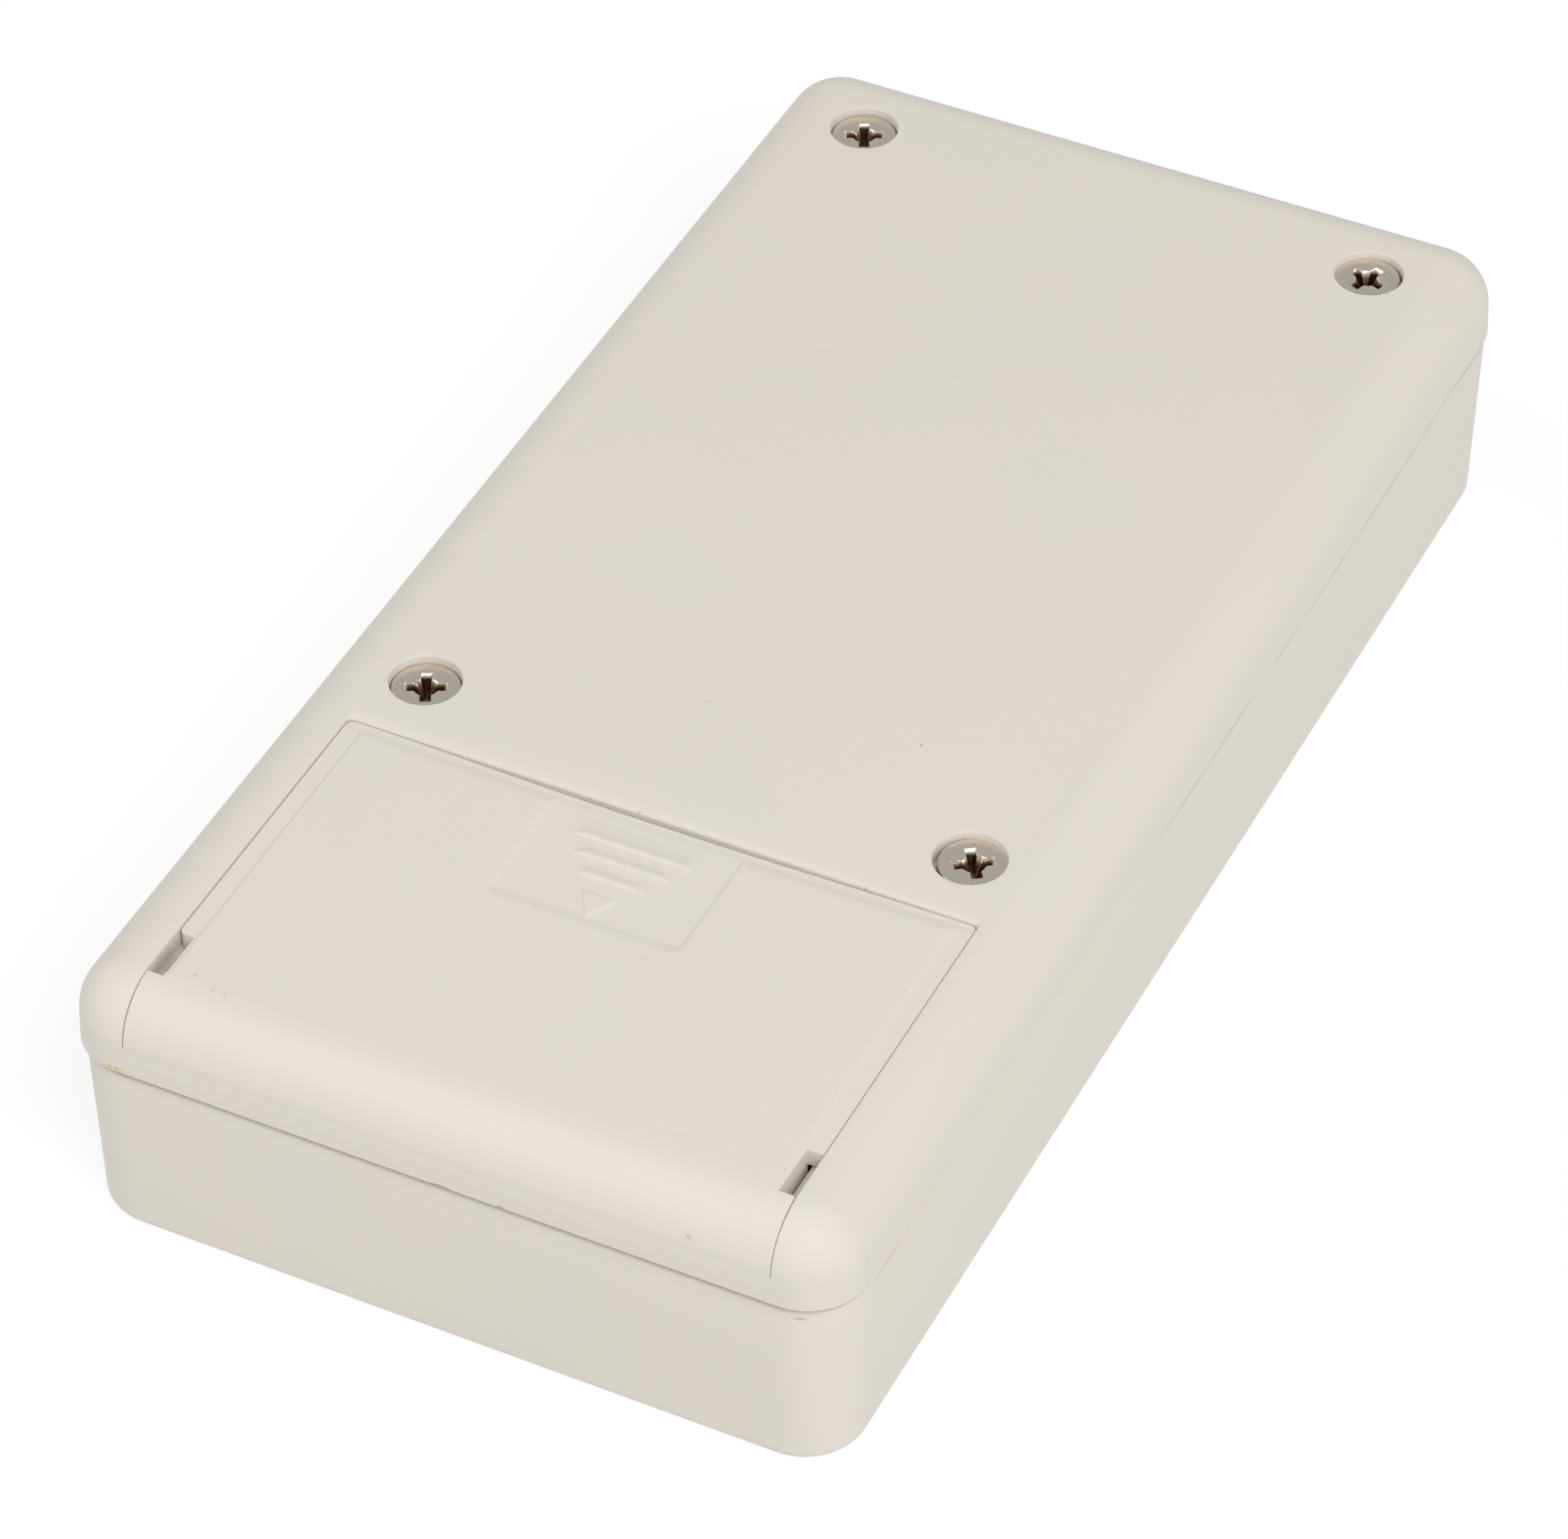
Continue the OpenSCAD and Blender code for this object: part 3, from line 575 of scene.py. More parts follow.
def rearSkin():
    # Outer and inner wall sections carried round the case, joined by the lip, the opening's rim and recesses
    section, normals = wallSection()
    atEdge, atFoot = 1, 2
    inner = section - case["wall"] * normals
    lipX, lipOut = cornerR - case["wall"], cornerR - case["wall"] + case["lipT"]
    lip = np.array([
        [lipX, case["lipFoot"]], [lipOut, case["lipFoot"]], [lipOut, case["split"]],
        [cornerR - case["splitEdge"], case["split"]],
    ])
    edge = case["splitEdge"]
    foot = arcRow(cornerR - edge, case["split"] + edge, edge, -90, 0, 4)
    outer = np.concatenate([lip[:3], foot[:-1], section])
    inner = np.concatenate([lip[:1], np.stack([inner[:, 0], np.maximum(inner[:, 1], case["split"])], -1)])
    halfW, startX = opening["halfW"], opening["halfW"] + opening["wrapEdge"]
    outerWalk = casePath(axisX, -axisY, axisY, startX, 20)
    innerWalk = [np.concatenate([row[:1], row, row[-1:]]) for row in outerWalk]
    innerWalk[0][0, 0], innerWalk[0][-1, 0] = halfW, -halfW
    outside = sweep(*outerWalk, outer)
    tightenEdge(outside, slice(len(lip) - 1, len(lip) + len(foot) - 1), *outerWalk, (cornerR, case["split"]))
    inside = sweep(*innerWalk, inner)
    rim = openingRim(section, normals, atFoot)
    outside[atFoot - len(section):, 0, 0] = halfW + rim["along"]
    outside[atFoot - len(section):, -1, 0] = -halfW - rim["along"]

    # Wall under the opening, outside and inside
    across = np.array([startX, halfW, -halfW, -startX])
    strip = np.stack([across, np.full(4, -axisY)], -1)
    ahead = np.tile([0.0, -1.0], (4, 1))
    shift = len(outer) - len(section)
    nearOut = sweep(strip, ahead, outer[: shift + atEdge + 1])
    nearIn = sweep(strip[1:3], ahead[1:3], inner[: 1 + atFoot + 1])

    rows = [rimRow(rim, angle) for angle in np.radians(np.linspace(0, 90, 7))]
    rows.append(rim["edge"] - case["wall"] * rim["normal"])
    rimGrid = np.stack(rows)

    # Flat top and ceiling, inside the swept edge and round the opening and the recesses
    r, edge, top = screws["recessR"], screws["recessEdge"], case["top"]
    ceiling = top - case["wall"]
    topLoop = np.concatenate([outside[-1], rimGrid[0, rim["flat"]][::-1][1:-1]])
    ceilingLoop = np.concatenate([inside[-1], rimGrid[-1, rim["flat"]][::-1][1:-1]])
    sheets = [gridSheet(grid) for grid in (outside, inside, nearOut, nearIn, rimGrid)]
    sheets.append(flatSheet([topLoop] + recessRow(r + edge + case["lead"], top)))
    sheets.append(flatSheet([ceilingLoop] + recessRow(r, ceiling)))
    recess = np.concatenate([
        [[r + edge + case["lead"], top]], arcRow(r + edge, 0, edge, 90, 180, 8), [[r, ceiling]],
    ])
    recess[1:-1, 1] = top - screws["recessDrop"] * (1 - recess[1:-1, 1] / edge)
    return [slideOpening(sheet) for sheet in sheets] + [lathe(recess, x, y) for x, y in screwPlaces]


# Inside the rear shell: pillars, battery well, pockets for the lid, ledges and ribs
rearInside = {
    "pillarR": 4.5,
    "pillarFoot": 17.0,
    "seatR": 3.5,
    "seatTop": 26.5,
    "sunk": 0.55,
    "holeR": 1.7,
    "wellHalf": 28.6,
    "wellNear": -67.6,
    "wellFar": -36.5,
    "wellFloor": 10.6,
    "wellWall": 1.5,
    "wellCorner": 0.6,
    "slotDepth": 1.6,
    "slotHalf": 4.3,
    "slotX": 14.0,
    "slack": 0.02,
    "neck": (0.9, 0.8),
    "flangeDrop": 0.12,
    "flangeNear": 1.2,
    "pocketNear": 2.0,
    "sink": 0.4,
    "pocketLap": 0.1,
    "ledgeLap": 0.2,
    "guideLap": 0.5,
    "ledgeW": 1.25,
    "endW": (1.5, 1.25),
    "endTop": (25.6, 25.5),
    "ledgeTop": 25.5,
    "ledgeT": 1.15,
    "guideY": ((-65.75, -64.75), (-39.35, -38.35)),
    "guideIn": 27.4,
    "guideTop": 18.3,
    "cradleHalf": 20.65,
    "cradleY": (-52.55, -51.55),
    "cradleTop": 13.1,
    "round": 0.25,
}


def pillarSheets(x, y):
    # Pillar under a recess, with the seat for the screw's head
    s = rearInside
    top, wide = s["seatTop"], screws["recessR"] - s["slack"]
    section = np.array([
        [s["holeR"], s["pillarFoot"]], [s["pillarR"], s["pillarFoot"]],
        [s["pillarR"], top - s["neck"][0]], [wide, top - s["neck"][1]],
        [wide, top - s["sunk"]], [s["seatR"] - s["sunk"], top - s["sunk"]],
        [s["holeR"], top - s["seatR"] + s["holeR"]], [s["holeR"], s["pillarFoot"]],
    ])
    return [lathe(section, x, y, 48)]


def wellSheets():
    # Battery well: rings from its floor up the walls, out over the flange under the lid and down outside
    s, flange = rearInside, opening["foot"] - rearInside["flangeDrop"]
    wall, r, floor = s["wellWall"], s["wellCorner"], s["wellFloor"]
    low, high = np.array([-s["wellHalf"], s["wellNear"]]), np.array([s["wellHalf"], s["wellFar"]])
    outX = opening["halfW"] + wall
    outLow = np.array([-outX, -case["halfL"] + s["flangeNear"]])
    outHigh = np.array([outX, opening["farY"] + s["slotDepth"] + wall])
    rows = []
    for angle in np.radians(np.linspace(0, 90, 5)):
        inset = r * (1 - math.sin(angle))
        rows.append(ringRow(low + inset, high - inset, r, floor + r * (1 - math.cos(angle))))
    for angle in np.radians(np.linspace(0, 90, 4)):
        out = s["round"] * (1 - math.cos(angle))
        rows.append(ringRow(low - out, high + out, r, flange - s["round"] * (1 - math.sin(angle))))
    rows += [ringRow(outLow, outHigh, r, flange), ringRow(outLow, outHigh, r, flange - wall)]
    rows += [ringRow(low - wall, high + wall, r, z) for z in (flange - wall, floor - wall)]
    return [gridSheet(np.stack(rows)), flatSheet([rows[0][:-1]]), flatSheet([rows[-1][:-1]])]


def rearBoxes():
    # Pocket walls round the lid's edge, slots for its tongues, ledges, and the ribs in the well
    s = rearInside
    halfW, farY = opening["halfW"] + s["slack"], opening["farY"] + s["slack"]
    foot, wall, floor = opening["foot"] - s["sink"], s["wellWall"], s["wellFloor"] - s["sink"]
    top = case["top"] - case["wall"] + s["sink"]
    ledgeFoot, backX = s["ledgeTop"] - s["ledgeT"], halfW + wall - s["pocketLap"]
    nearY, backY = s["pocketNear"] - case["halfL"], farY + s["slotDepth"]
    inSlot, outSlot = s["slotX"] - s["slotHalf"], s["slotX"] + s["slotHalf"]
    boxes = [
        ((-backX, backY, foot), (backX, backY + wall, top)),
        ((-inSlot, farY, foot), (inSlot, backY + wall / 2, top)),
        ((-s["cradleHalf"], s["cradleY"][0], floor), (s["cradleHalf"], s["cradleY"][1], s["cradleTop"])),
    ]
    for side in (-1, 1):
        boxes += [
            ((side * halfW, nearY, foot), (side * (halfW + wall), backY + wall / 2, top)),
            ((side * outSlot, farY, foot), (side * (halfW + wall / 2), backY + wall / 2, top)),
            ((side * (opening["halfW"] - s["ledgeW"]), lid["notchFar"] - s["ledgeLap"], ledgeFoot),
             (side * (halfW + wall / 2), farY + wall / 2, s["ledgeTop"])),
            ((side * (opening["halfW"] - s["endW"][side > 0]), lid["notchNear"], ledgeFoot),
             (side * (halfW + wall / 2), lid["notchFar"], s["endTop"][side > 0])),
        ]
        boxes += [
            ((side * s["guideIn"], near, floor), (side * (s["wellHalf"] + s["guideLap"]), far, s["guideTop"]))
            for near, far in s["guideY"]
        ]
    aside = np.array([opening["shift"], 0, 0])
    return [roundBox(np.array(low) + aside, np.array(high) + aside, s["round"]) for low, high in boxes]


rearSolids = [rearSkin(), wellSheets()] + [pillarSheets(x, y) for x, y in screwPlaces] + rearBoxes()
makePiece("rearShell", rearSolids, "case", ["rear_shell"], shellMaterial)


# Front shell
front = {
    "setIn": (case["halfW"] - frontHigh[0], frontLow[1] + case["halfL"], case["halfL"] - frontHigh[1]),
    "cornerR": 6.2,
    "draft": 1.5,
    "footR": 1.2,
    "rimEdge": 0.12,
    "rebateIn": 0.74,
    "rebateFoot": 17.75,
    "bossR": 3.7,
    "bossHoleR": 1.51,
    "bossTop": 16.9,
    "bossHole": 9.0,
    "boardX": 25.0,
    "boardY": (-13.4, 50.6),
    "boardR": 3.0,
    "boardHoleR": 1.1,
    "boardTop": 6.2,
    "rootIn": 0.5,
    "faceLead": 2.0,
    "floorLead": 0.5,
}


def frontSkin():
    # One section over the rim, from the outer face to the inner floor, carried round the case
    f, wall, split = front, case["wall"], case["split"]
    slope = math.tan(math.radians(f["draft"]))

    def wallX(z, inset):
        return f["cornerR"] - inset - slope * (split - z)

    r, edge = f["footR"], f["rimEdge"]
    footX = wallX(r, 0) - r
    innerX = wallX(wall + r, wall) - r
    footArc = arcRow(footX, r, r, -90, 0, 12)
    rimArc = arcRow(f["cornerR"] - edge, split - edge, edge, 0, 90, 4)
    section = np.concatenate([
        [[footX - f["faceLead"], 0]],
        footArc,
        rimArc,
        [[f["cornerR"] - f["rebateIn"], split], [f["cornerR"] - f["rebateIn"], f["rebateFoot"]]],
        [[wallX(f["rebateFoot"], wall), f["rebateFoot"]]],
        arcRow(innerX, wall + r, r, 0, -90, 8),
        [[innerX - f["floorLead"], wall]],
    ])
    side, near, far = f["setIn"]
    cornerX, cornerY = case["halfW"] - f["cornerR"], case["halfL"] - f["cornerR"]
    base, out = casePath(cornerX - side, near - cornerY, cornerY - far, 0.0, 20)
    grid = sweep(base, out, section)
    firstRim = 1 + len(footArc)
    tightenEdge(grid, slice(firstRim, firstRim + len(rimArc)), base, out, (f["cornerR"], split))
    return [gridSheet(grid), flatSheet([grid[0, :-1]]), flatSheet([grid[-1, :-1]])]


def bossSheets():
    # Screw bosses and board studs: a section with a blind hole, turned round each axis
    f, wall = front, case["wall"]
    root = wall - f["rootIn"]
    boss = np.array([
        [0, root], [f["bossR"], root], [f["bossR"], f["bossTop"]], [f["bossHoleR"], f["bossTop"]],
        [f["bossHoleR"], f["bossTop"] - f["bossHole"]], [0, f["bossTop"] - f["bossHole"]],
    ])
    stud = np.array([
        [0, root], [f["boardR"], root], [f["boardR"], f["boardTop"]], [f["boardHoleR"], f["boardTop"]],
        [f["boardHoleR"], wall], [0, wall],
    ])
    solids = [[lathe(boss, x, y, 40)] for x, y in screwPlaces]
    return solids + [[lathe(stud, side * f["boardX"], y, 32)] for side in (-1, 1) for y in f["boardY"]]


frontSolids = [frontSkin()] + bossSheets()
makePiece("frontShell", frontSolids, "case", ["front_shell"], shellMaterial)


# Battery lid: x across, s along its section from the far edge over the top and down the wrap
grip = {
    "aside": -0.165,
    "half": 9.35,
    "near": -48.2,
    "corner": 1.5,
    "low": 0.16,
    "ramp": (0.5, 1.2),
    "ribY": (-37.9, -40.11, -42.3),
    "ribHalf": (5.75, 4.6, 3.25),
    "ribWide": (0.3, 1.1),
    "ribHigh": 0.2,
    "arrowFar": -44.15,
    "arrowNear": -47.3,
    "arrowHalf": 1.93,
    "arrowHigh": 0.17,
    "arrowSlope": 0.22,
}
lid["flat"] = lid["farY"] + axisY + case["flatCorner"]
lid["arcTurn"] = math.pi / 2 - lean
wrapDrop = arcFoot[1] - lid["wrapFoot"]
lid["length"] = lid["flat"] + case["edgeR"] * lid["arcTurn"] + wrapDrop / math.cos(lean)


def lidSection(s):
    # Along the flat, then the edge arc, then the drafted wall: place and normal in the side view
    turn = np.clip((s - lid["flat"]) / case["edgeR"], 0, lid["arcTurn"])
    tail = np.maximum(s - lid["flat"] - case["edgeR"] * lid["arcTurn"], 0)
    y = lid["farY"] - np.minimum(s, lid["flat"]) - case["edgeR"] * np.sin(turn) - tail * np.cos(turn)
    z = case["top"] - case["edgeR"] * (1 - np.cos(turn)) - tail * np.sin(turn)
    return y, z, -np.sin(turn), np.cos(turn)


def boxDistance(x, y, lowX, highX, lowY, highY, r):
    # Distance outside a rectangle with round corners, negative inside it
    qx = np.abs(x - (lowX + highX) / 2) - (highX - lowX) / 2 + r
    qy = np.abs(y - (lowY + highY) / 2) - (highY - lowY) / 2 + r
    return np.hypot(np.maximum(qx, 0), np.maximum(qy, 0)) + np.minimum(np.maximum(qx, qy), 0) - r


def lidRelief(x, y):
    # Height over the flush panel: sides, far edge and grip patch lie low, and its ribs and arrow stand up
    g = grip
    side = np.where(y > lid["notchNear"], smooth((np.abs(x) - lid["panelHalf"]) / lid["sideRamp"]), 0)
    far = smooth((y - lid["panelFar"]) / lid["farRamp"])
    x = x - g["aside"]
    wide, long = g["ramp"]
    half, near = g["half"] / wide, g["near"] / long
    patch = boxDistance(x / wide, y / long, -half, half, near, 0, g["corner"])
    low = np.maximum(lid["sideLow"] * side, g["low"] * smooth(-patch))
    height = -np.maximum(low, lid["farLow"] * far)
    for ribY, half in zip(g["ribY"], g["ribHalf"]):
        wide = np.where(y < ribY, *g["ribWide"])
        away = np.hypot(np.maximum(np.abs(x) - half + wide, 0), y - ribY) / wide
        height = height + g["ribHigh"] * np.cos(np.minimum(away, 1) * math.pi / 2) ** 2
    slant = math.atan2(g["arrowFar"] - g["arrowNear"], g["arrowHalf"])
    side = (np.abs(x) - g["arrowHalf"]) * math.sin(slant) + (g["arrowFar"] - y) * math.cos(slant)
    arrow = np.maximum(side, y - g["arrowFar"])
    return height + g["arrowHigh"] * smooth(-arrow / g["arrowSlope"])


linesApart = 0.012  # closer grid lines are dropped


def lines(low, high, step, *dense):
    # Grid lines between two ends: a wide step, and finer steps in the stated (from, to, step) ranges
    marks = [np.linspace(low, high, max(int(math.ceil((high - low) / step)), 1) + 1)]
    marks += [np.arange(a, b + fine / 2, fine) for a, b, fine in dense]
    line = np.unique(np.round(np.concatenate(marks), 4))
    line = line[(line >= low) & (line <= high)]
    inner, fromEnd = line[1:-1], linesApart / 2
    keep = np.concatenate([[True], np.diff(inner) > linesApart]) if len(inner) else np.zeros(0, bool)
    keep = keep & (inner > low + fromEnd) & (inner < high - fromEnd)
    return np.concatenate([[low], inner[keep], [high]])


# Grid steps: wide ones where the lid is plain, finer ones on its relief and edges
lidSteps = {
    "body": 2.0,
    "across": 2.5,
    "notch": 1.0,
    "wrap": 0.3,
    "farRamp": 0.13,
    "ribs": (0.11, 0.12),
    "patchSide": 0.06,
    "panelSide": 0.05,
    "tab": 0.06,
    "slotEdge": 0.03,
    "strip": (0.25, 0.06),
    "stripWide": 1.4,
    "edgeRows": 5,
    "beyond": 9.0,
}


def lidSkin():
    # Top and underside as functions of x and s over a middle block and four side strips, joined by walls
    g, n, r = grip, lidSteps, lid["edge"]
    sFar, sNear, sEnd = lid["farY"] - lid["notchFar"], lid["farY"] - lid["notchNear"], lid["length"]

    def inside(x, s):
        # Distance in from the lid's outline: body and wrap, joined by the narrower part between the notches
        w, past = lid["halfW"], n["beyond"]
        body = np.maximum(
            boxDistance(x, s, -w, w, 0, sFar + past, np.where(x < 0, *lid["farCornerR"])),
            boxDistance(x, s, -w, w, -past, sFar, np.where(x < 0, *lid["tabCornerR"])),
        )
        waist = boxDistance(x, s, -lid["notchHalf"], lid["notchHalf"], 0, sEnd + past, 0.0)
        wrap = boxDistance(x, s, -w, w, sNear, sEnd + past, lid["wrapCornerR"])
        foot = (s - sEnd) * r / lid["footEdge"]
        return -np.maximum(np.minimum(np.minimum(body, waist), wrap), foot)

    def surface(x, s, depth):
        # Depth 0 is the top: relief and rounded outline along the normal. The far edge bows in at any depth
        y, z, ny, nz = lidSection(s)
        y = y - lid["bow"][0] * (1 - (x / lid["halfW"]) ** 2) ** 2 * smooth(1 - s / lid["bow"][1])
        if depth:
            lift = np.full(x.shape, -depth)
        else:
            near = np.clip(inside(x, s), 0, r)
            lift = lidRelief(x, lid["farY"] - s) - (r - np.sqrt(np.maximum(r * r - (r - near) ** 2, 0)))
        return np.stack([x + lid["shift"], y + lift * ny, z + lift * nz], -1)

    def cornerDrop(d, radius):
        # How far a round corner draws the side in, at distance d from the end
        d = np.clip(d, 0, radius)
        return radius - np.sqrt(np.maximum(radius ** 2 - (radius - d) ** 2, 0))

    # Lines along s, then across x, with a small margin round each fine range
    ribFar, ribNear = lid["farY"] - g["ribY"][0] - 0.6, lid["farY"] - g["near"] + 0.6
    panelS, fine = lid["farY"] - lid["panelFar"], r / n["edgeRows"]
    farLines = lines(
        0, sFar, n["body"],
        (0, r, fine), (r, panelS + 0.1, n["farRamp"]), (ribFar, ribNear, n["ribs"][0]),
        (sFar - 0.7, sFar - r, n["tab"]), (sFar - r, sFar, fine),
    )
    notchLines = lines(sFar, sNear, n["notch"])
    wrapLines = lines(sNear, sEnd, n["wrap"], (sNear, sNear + 0.3, n["slotEdge"]), (sEnd - r, sEnd, fine))
    rows = np.concatenate([farLines, notchLines[1:], wrapLines[1:]])
    half = lines(
        0, lid["notchHalf"], n["across"],
        (0, g["ribHalf"][0] + 0.3, n["ribs"][1]), (g["half"] - 0.7, g["half"] + 0.2, n["patchSide"]),
        (lid["panelHalf"] - 0.05, lid["panelHalf"] + 0.4, n["panelSide"]),
        (lid["notchHalf"] - r, lid["notchHalf"], fine),
    )
    across = np.concatenate([-half[:0:-1], half])
    wide, close = n["strip"]
    strip = lines(0, 1, wide, (0, wide, close), (1 - r / n["stripWide"], 1, fine / n["stripWide"]))

    def stripX(side, drop):
        edge = lid["halfW"] - drop
        return side * (lid["notchHalf"] + strip[None] * (edge[:, None] - lid["notchHalf"]))

    wrapDrops = cornerDrop(wrapLines - sNear, lid["wrapCornerR"])
    blocks = [np.meshgrid(across, rows)]
    for side, farR, tabR in zip((-1, 1), lid["farCornerR"], lid["tabCornerR"]):
        farDrops = cornerDrop(farLines, farR) + cornerDrop(sFar - farLines, tabR)
        for s, drop in ((farLines, farDrops), (wrapLines, wrapDrops)):
            x = stripX(side, drop)
            blocks.append((x, np.broadcast_to(s[:, None], x.shape)))
    sheets = []
    for x, s in blocks:
        sheets.append(gridSheet(surface(x, s, 0)))
        sheets.append(gridSheet(surface(x, s, lid["thick"])))

    def wallStrip(x, s):
        sheets.append(gridSheet(np.stack([surface(x, s, 0), surface(x, s, lid["thick"])])))

    # Walls down the outline, block by block
    mainX, mainS = blocks[0]
    inNotch = (rows > sFar - linesApart / 2) & (rows < sNear + linesApart / 2)
    wallStrip(mainX[0], mainS[0])
    wallStrip(mainX[-1], mainS[-1])
    for edge in (0, -1):
        wallStrip(mainX[inNotch, edge], mainS[inNotch, edge])
    for x, s in blocks[1:]:
        wallStrip(x[:, -1], s[:, -1])
        wallStrip(x[0], s[0])
        wallStrip(x[-1], s[-1])
    return sheets


lidHooks = {
    "legX": 28.82,
    "thick": 1.2,
    "footTop": 24.05,
    "footOut": 30.15,
    "reach": 0.4,
    "tongueX": 14.0,
    "tongueHalf": 4.0,
    "tongueTop": 25.1,
    "tongueFar": lidHigh[1],
    "root": 26.1,
    "rootIn": 0.3,
    "round": 0.2,
}


def lidFittings():
    # Hooks under the notches and tongues at the far edge
    h = lidHooks
    boxes, aside = [], np.array([opening["shift"], 0, 0])
    for side in (-1, 1):
        near, far = lid["notchNear"] + lid["gap"], lid["notchFar"] + h["reach"]
        inX, foot = h["legX"] - h["thick"], h["footTop"] - h["thick"]
        lowX, highX = h["tongueX"] - h["tongueHalf"], h["tongueX"] + h["tongueHalf"]
        farY, rootY = lid["farY"] - h["rootIn"], lid["panelFar"]
        tongueFoot = h["tongueTop"] - h["thick"]
        boxes += [
            ([side * inX, near, foot], [side * h["legX"], far, h["root"]]),
            ([side * inX, near, foot], [side * h["footOut"], far, h["footTop"]]),
            ([side * lowX, rootY, tongueFoot], [side * highX, farY, h["root"]]),
            ([side * lowX, rootY, tongueFoot], [side * highX, h["tongueFar"], h["tongueTop"]]),
        ]
    return [roundBox(np.array(low) + aside, np.array(high) + aside, h["round"]) for low, high in boxes]


lidSolids = [lidSkin()] + lidFittings()
makePiece("batteryLid", lidSolids, "lid", ["battery_lid"], lidMaterial)


# Screws: a flat head with a cross recess over a threaded shank, each with its own turn and shift
crossHead = {
    "span": 2.0,
    "armHalf": 0.52,
    "tipSlope": (1.1, 3.5),
    "tipBend": 0.34,
    "sideSlope": 4.0,
    "coneR": 1.2,
    "coneSlope": 1.9,
    "deepest": 1.9,
    "lipR": 0.12,
    "square": 2.03,
    "rim": 0.08,
    "turns": (25, 71, 26, 35),
    "shift": ((0.02, -0.05, -0.05), (-0.21, 0.07, 0.1), (0.0, 0.0, -0.05), (0.25, 0.22, 0.1)),
    "edgeHigh": 0.12,
    "lap": 0.32,
    "pitch": 1.1,
    "threadDepth": 0.3,
    "runOut": 1.5,
    "point": 1.8,
    "shankR": 1.45,
    "steps": (0.09, 0.03),
}


def crossDepth(u, v):
    # Depth of the cross: two bars with steep sides and sloping ends, a cone in the middle, and a soft lip
    c = crossHead
    slope, steep = c["tipSlope"]
    bars = []
    for a, b in ((np.abs(u), np.abs(v)), (np.abs(v), np.abs(u))):
        end = c["span"] - a
        end = np.maximum(slope * end, steep * (end - c["tipBend"]) + slope * c["tipBend"])
        bars.append(np.minimum(end, c["sideSlope"] * (c["armHalf"] - b)))
    cone = c["coneSlope"] * (c["coneR"] - np.hypot(u, v))
    depth = np.clip(np.maximum(np.maximum(*bars), cone), 0, c["deepest"])
    return depth - c["lipR"] * (1 - np.exp(-depth / c["lipR"]))


def screwSolids(index):
    # Head: a square grid along the arms falls by the cross's depth, then rings lead out to the rim and cone
    c = crossHead
    x0, y0 = np.array(screwPlaces[index]) + np.array(c["shift"][index][:2])
    top, headR, rim = screws["headTop"] + c["shift"][index][2], screws["headR"], c["rim"]
    wide, fine = c["steps"]
    half = lines(
        0, c["square"], wide,
        (c["armHalf"] - 0.42, c["armHalf"] + 0.03, fine), (c["span"] - 0.25, c["square"], fine),
    )
    across = np.concatenate([-half[:0:-1], half])
    u, v = np.meshgrid(across, across, indexing="ij")
    cos, sin = math.cos(math.radians(c["turns"][index])), math.sin(math.radians(c["turns"][index]))
    head = np.stack([x0 + u * cos - v * sin, y0 + u * sin + v * cos, top - crossDepth(u, v)], -1)
    loop = np.concatenate([head[0, :-1], head[:-1, -1], head[-1, :0:-1], head[:0:-1, 0], head[:1, 0]])
    out = loop[:, :2] - [x0, y0]
    away = np.linalg.norm(out, axis=1, keepdims=True)
    coneTop = top - c["edgeHigh"]
    coneFoot = coneTop - headR + c["shankR"]
    edge = arcRow(headR - rim, top - rim, rim, 90, 0, 4)
    under = np.concatenate([edge, [[headR, coneTop], [c["shankR"], coneFoot], [0, coneFoot]]])
    rings = [loop[:, :2] + t * (edge[0, 0] / away - 1) * out for t in (0.0, 0.5)] + [
        np.array([x0, y0]) + r / away * out for r in under[:, 0]
    ]
    levels = np.concatenate([[top, top], under[:, 1]])
    skirt = np.stack([np.column_stack([plan, np.full(len(plan), z)]) for plan, z in zip(rings, levels)])
    solid = [gridSheet(head), gridSheet(skirt)]

    # Shank: the radius follows a triangle wave of height less turn, so the ridge climbs one pitch a turn
    angle = np.linspace(0, 2 * math.pi, 49)
    z, ring = np.meshgrid(np.linspace(coneFoot + c["lap"], screws["foot"], 90), angle, indexing="ij")
    wave = np.abs((z - ring / (2 * math.pi) * c["pitch"]) / c["pitch"] % 1 * 2 - 1)
    taper = np.clip((z - screws["foot"]) / c["point"], 0, 1)
    shankR = taper * (c["shankR"] - c["threadDepth"] * smooth((z[0, 0] - z) / c["runOut"]) * wave)
    shankR[0] = 0
    shank = np.stack([x0 + shankR * np.cos(ring), y0 + shankR * np.sin(ring), z], -1)
    shank[0, :, 2] = shank[1, :, 2]
    return [solid, [gridSheet(shank)]]


allScrews = [solid for index in range(len(screwPlaces)) for solid in screwSolids(index)]
makePiece("caseScrews", allScrews, "case", ["case_screws"], screwMaterial, sharp=50)


# Contacts: the plates keep their solids, and the springs are drawn finer
for node in ("link_plate", "positive_plate", "negative_plate"):
    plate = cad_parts[node]
    plate.data.materials.clear()
    plate.data.materials.append(contactMaterial)

springs = {
    "places": ((1, -44.45), (-1, -59.65)),
    "turns": 4,
    "baseR": 4.0,
    "tipR": 2.3,
    "length": 5.6,
    "wireR": 0.3,
    "wireSteps": 12,
    "coilSteps": 32,
    "seatX": 27.8,
    "axisZ": 17.85,
}


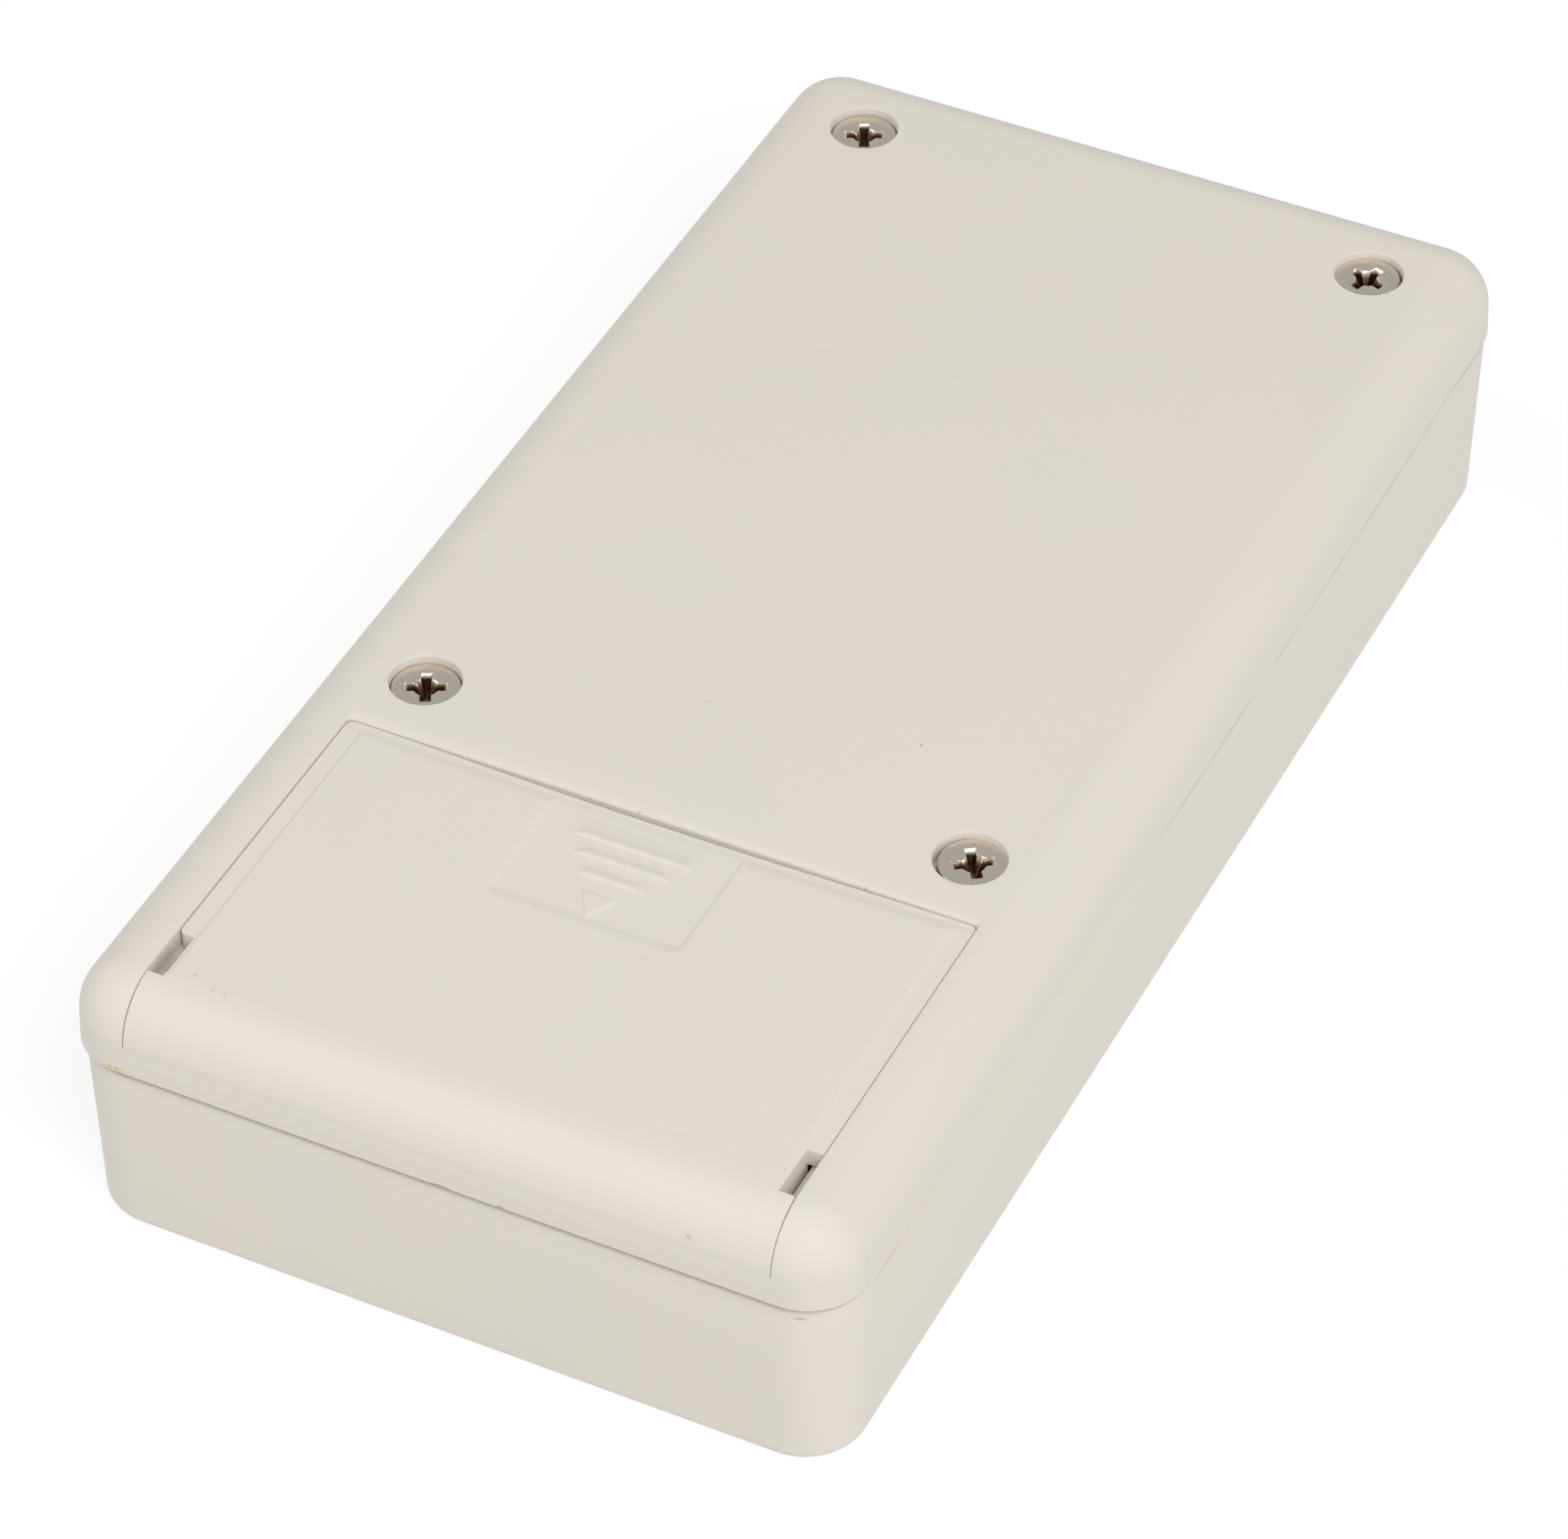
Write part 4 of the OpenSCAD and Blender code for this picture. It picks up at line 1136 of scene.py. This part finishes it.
def springSheets(side, y):
    # Round wire along a narrowing coil: ring radius falls and height grows evenly with the turn
    c = springs
    t = np.linspace(0, 1, c["turns"] * c["coilSteps"] + 1)
    turn = 2 * math.pi * c["turns"] * t
    mid = c["baseR"] + (c["tipR"] - c["baseR"]) * t
    around = np.linspace(0, 2 * math.pi, c["wireSteps"] + 1)
    r = mid[:, None] + c["wireR"] * np.cos(around)[None]
    lift = (c["length"] * t)[:, None] + c["wireR"] * np.sin(around)[None]
    points = np.stack([
        side * (c["seatX"] - lift), y + r * np.cos(turn)[:, None], c["axisZ"] + r * np.sin(turn)[:, None],
    ], -1)
    caps = [(end[:-1], np.arange(c["wireSteps"])[None]) for end in (points[0], points[-1])]
    return [gridSheet(points)] + caps


coils = [springSheets(*place) for place in springs["places"]]
makePiece("contactSprings", coils, "case", ["contact_springs"], contactMaterial)


# Floor, light and camera
studio = {
    "floorHalf": 3.0,
    "floorBounce": 0.866,
    "floorGlow": 0.76,
    "floorShade": (0.26, 0.26, 0.26, 1),
    "ambient": 0.459,
    "lampAway": 1.6,
    "lamps": (("key", 50, 50, 15.1, 0.9), ("fill", -70, 38, 4.8, 0.9), ("glint", 15, 9, 1.2, 0.5)),
}


def stageMaterial():
    # Seen directly it glows and takes a soft shade, and for the light that it sends back it is even
    material = bpy.data.materials.new("paleFloor")
    material.use_nodes = True
    tree = material.node_tree
    tree.nodes.clear()
    path = tree.nodes.new("ShaderNodeLightPath")
    seen = combine(tree, "MAXIMUM", path.outputs["Is Camera Ray"], path.outputs["Is Glossy Ray"])
    seen = combine(tree, "MAXIMUM", seen, path.outputs["Is Transmission Ray"])
    bounce = addNode(tree, "ShaderNodeEmission", [("Strength", studio["floorBounce"])])
    glow = addNode(tree, "ShaderNodeEmission", [("Strength", studio["floorGlow"])])
    matte = addNode(tree, "ShaderNodeBsdfDiffuse", [("Color", studio["floorShade"])])
    both = addNode(tree, "ShaderNodeAddShader", [(0, glow.outputs[0]), (1, matte.outputs[0])])
    mix = addNode(tree, "ShaderNodeMixShader", [(0, seen), (1, bounce.outputs[0]), (2, both.outputs[0])])
    out = tree.nodes.new("ShaderNodeOutputMaterial")
    tree.links.new(mix.outputs[0], out.inputs["Surface"])
    return material


def makeStage():
    half = studio["floorHalf"]
    mesh = bpy.data.meshes.new("floor")
    corners = [(-half, -half, 0), (half, -half, 0), (half, half, 0), (-half, half, 0)]
    mesh.from_pydata(corners, [], [(0, 1, 2, 3)])
    mesh.materials.append(stageMaterial())
    floor = bpy.data.objects.new("floor", mesh)
    bpy.context.scene.collection.objects.link(floor)

    # White behind the object, and a weaker even light on it
    world = bpy.data.worlds.new("paleRoom")
    bpy.context.scene.world = world
    world.use_nodes = True
    tree = world.node_tree
    path = tree.nodes.new("ShaderNodeLightPath")
    seen = combine(tree, "MAXIMUM", path.outputs["Is Camera Ray"], path.outputs["Is Transmission Ray"])
    level = mapRange(tree, seen, 0.0, 1.0, studio["ambient"], 1.0)
    back = tree.nodes["Background"]
    back.inputs["Color"].default_value = (1, 1, 1, 1)
    tree.links.new(level, back.inputs["Strength"])

    for name, azimuth, height, power, size in studio["lamps"]:
        data = bpy.data.lights.new(name, "AREA")
        data.energy = power
        data.size = size
        lamp = bpy.data.objects.new(name, data)
        lamp.visible_diffuse = name != "glint"  # the glint shows only in reflections
        bpy.context.scene.collection.objects.link(lamp)
        a, h = math.radians(azimuth), math.radians(height)
        way = Vector((math.sin(a) * math.cos(h), -math.cos(a) * math.cos(h), math.sin(h)))
        lamp.location = way * studio["lampAway"]
        lamp.rotation_euler = (-way).to_track_quat("-Z", "Y").to_euler()


# Camera of the photo: its place in millimetres, and the directions of the picture's right and down
shot = {
    "place": (194.170, -401.983, 412.695),
    "right": (0.89855681, 0.43883259, -0.00464978),
    "down": (0.29256377, -0.60688581, -0.73898312),
    "lens": 150.869,
    "sensor": 36.0,
    "nearest": 0.01,
}


def makeCamera():
    data = bpy.data.cameras.new("camera")
    data.lens = shot["lens"]
    data.sensor_width = shot["sensor"]
    data.clip_start = shot["nearest"]
    camera = bpy.data.objects.new("camera", data)
    bpy.context.scene.collection.objects.link(camera)
    right, up = Vector(shot["right"]), -Vector(shot["down"])
    turn = Matrix((right, up, right.cross(up))).transposed()
    camera.matrix_world = Matrix.Translation(Vector(shot["place"]) * mm) @ turn.to_4x4()
    bpy.context.scene.camera = camera


makeStage()
makeCamera()
bpy.context.scene.view_settings.view_transform = "Standard"
print("stage, light and camera set")
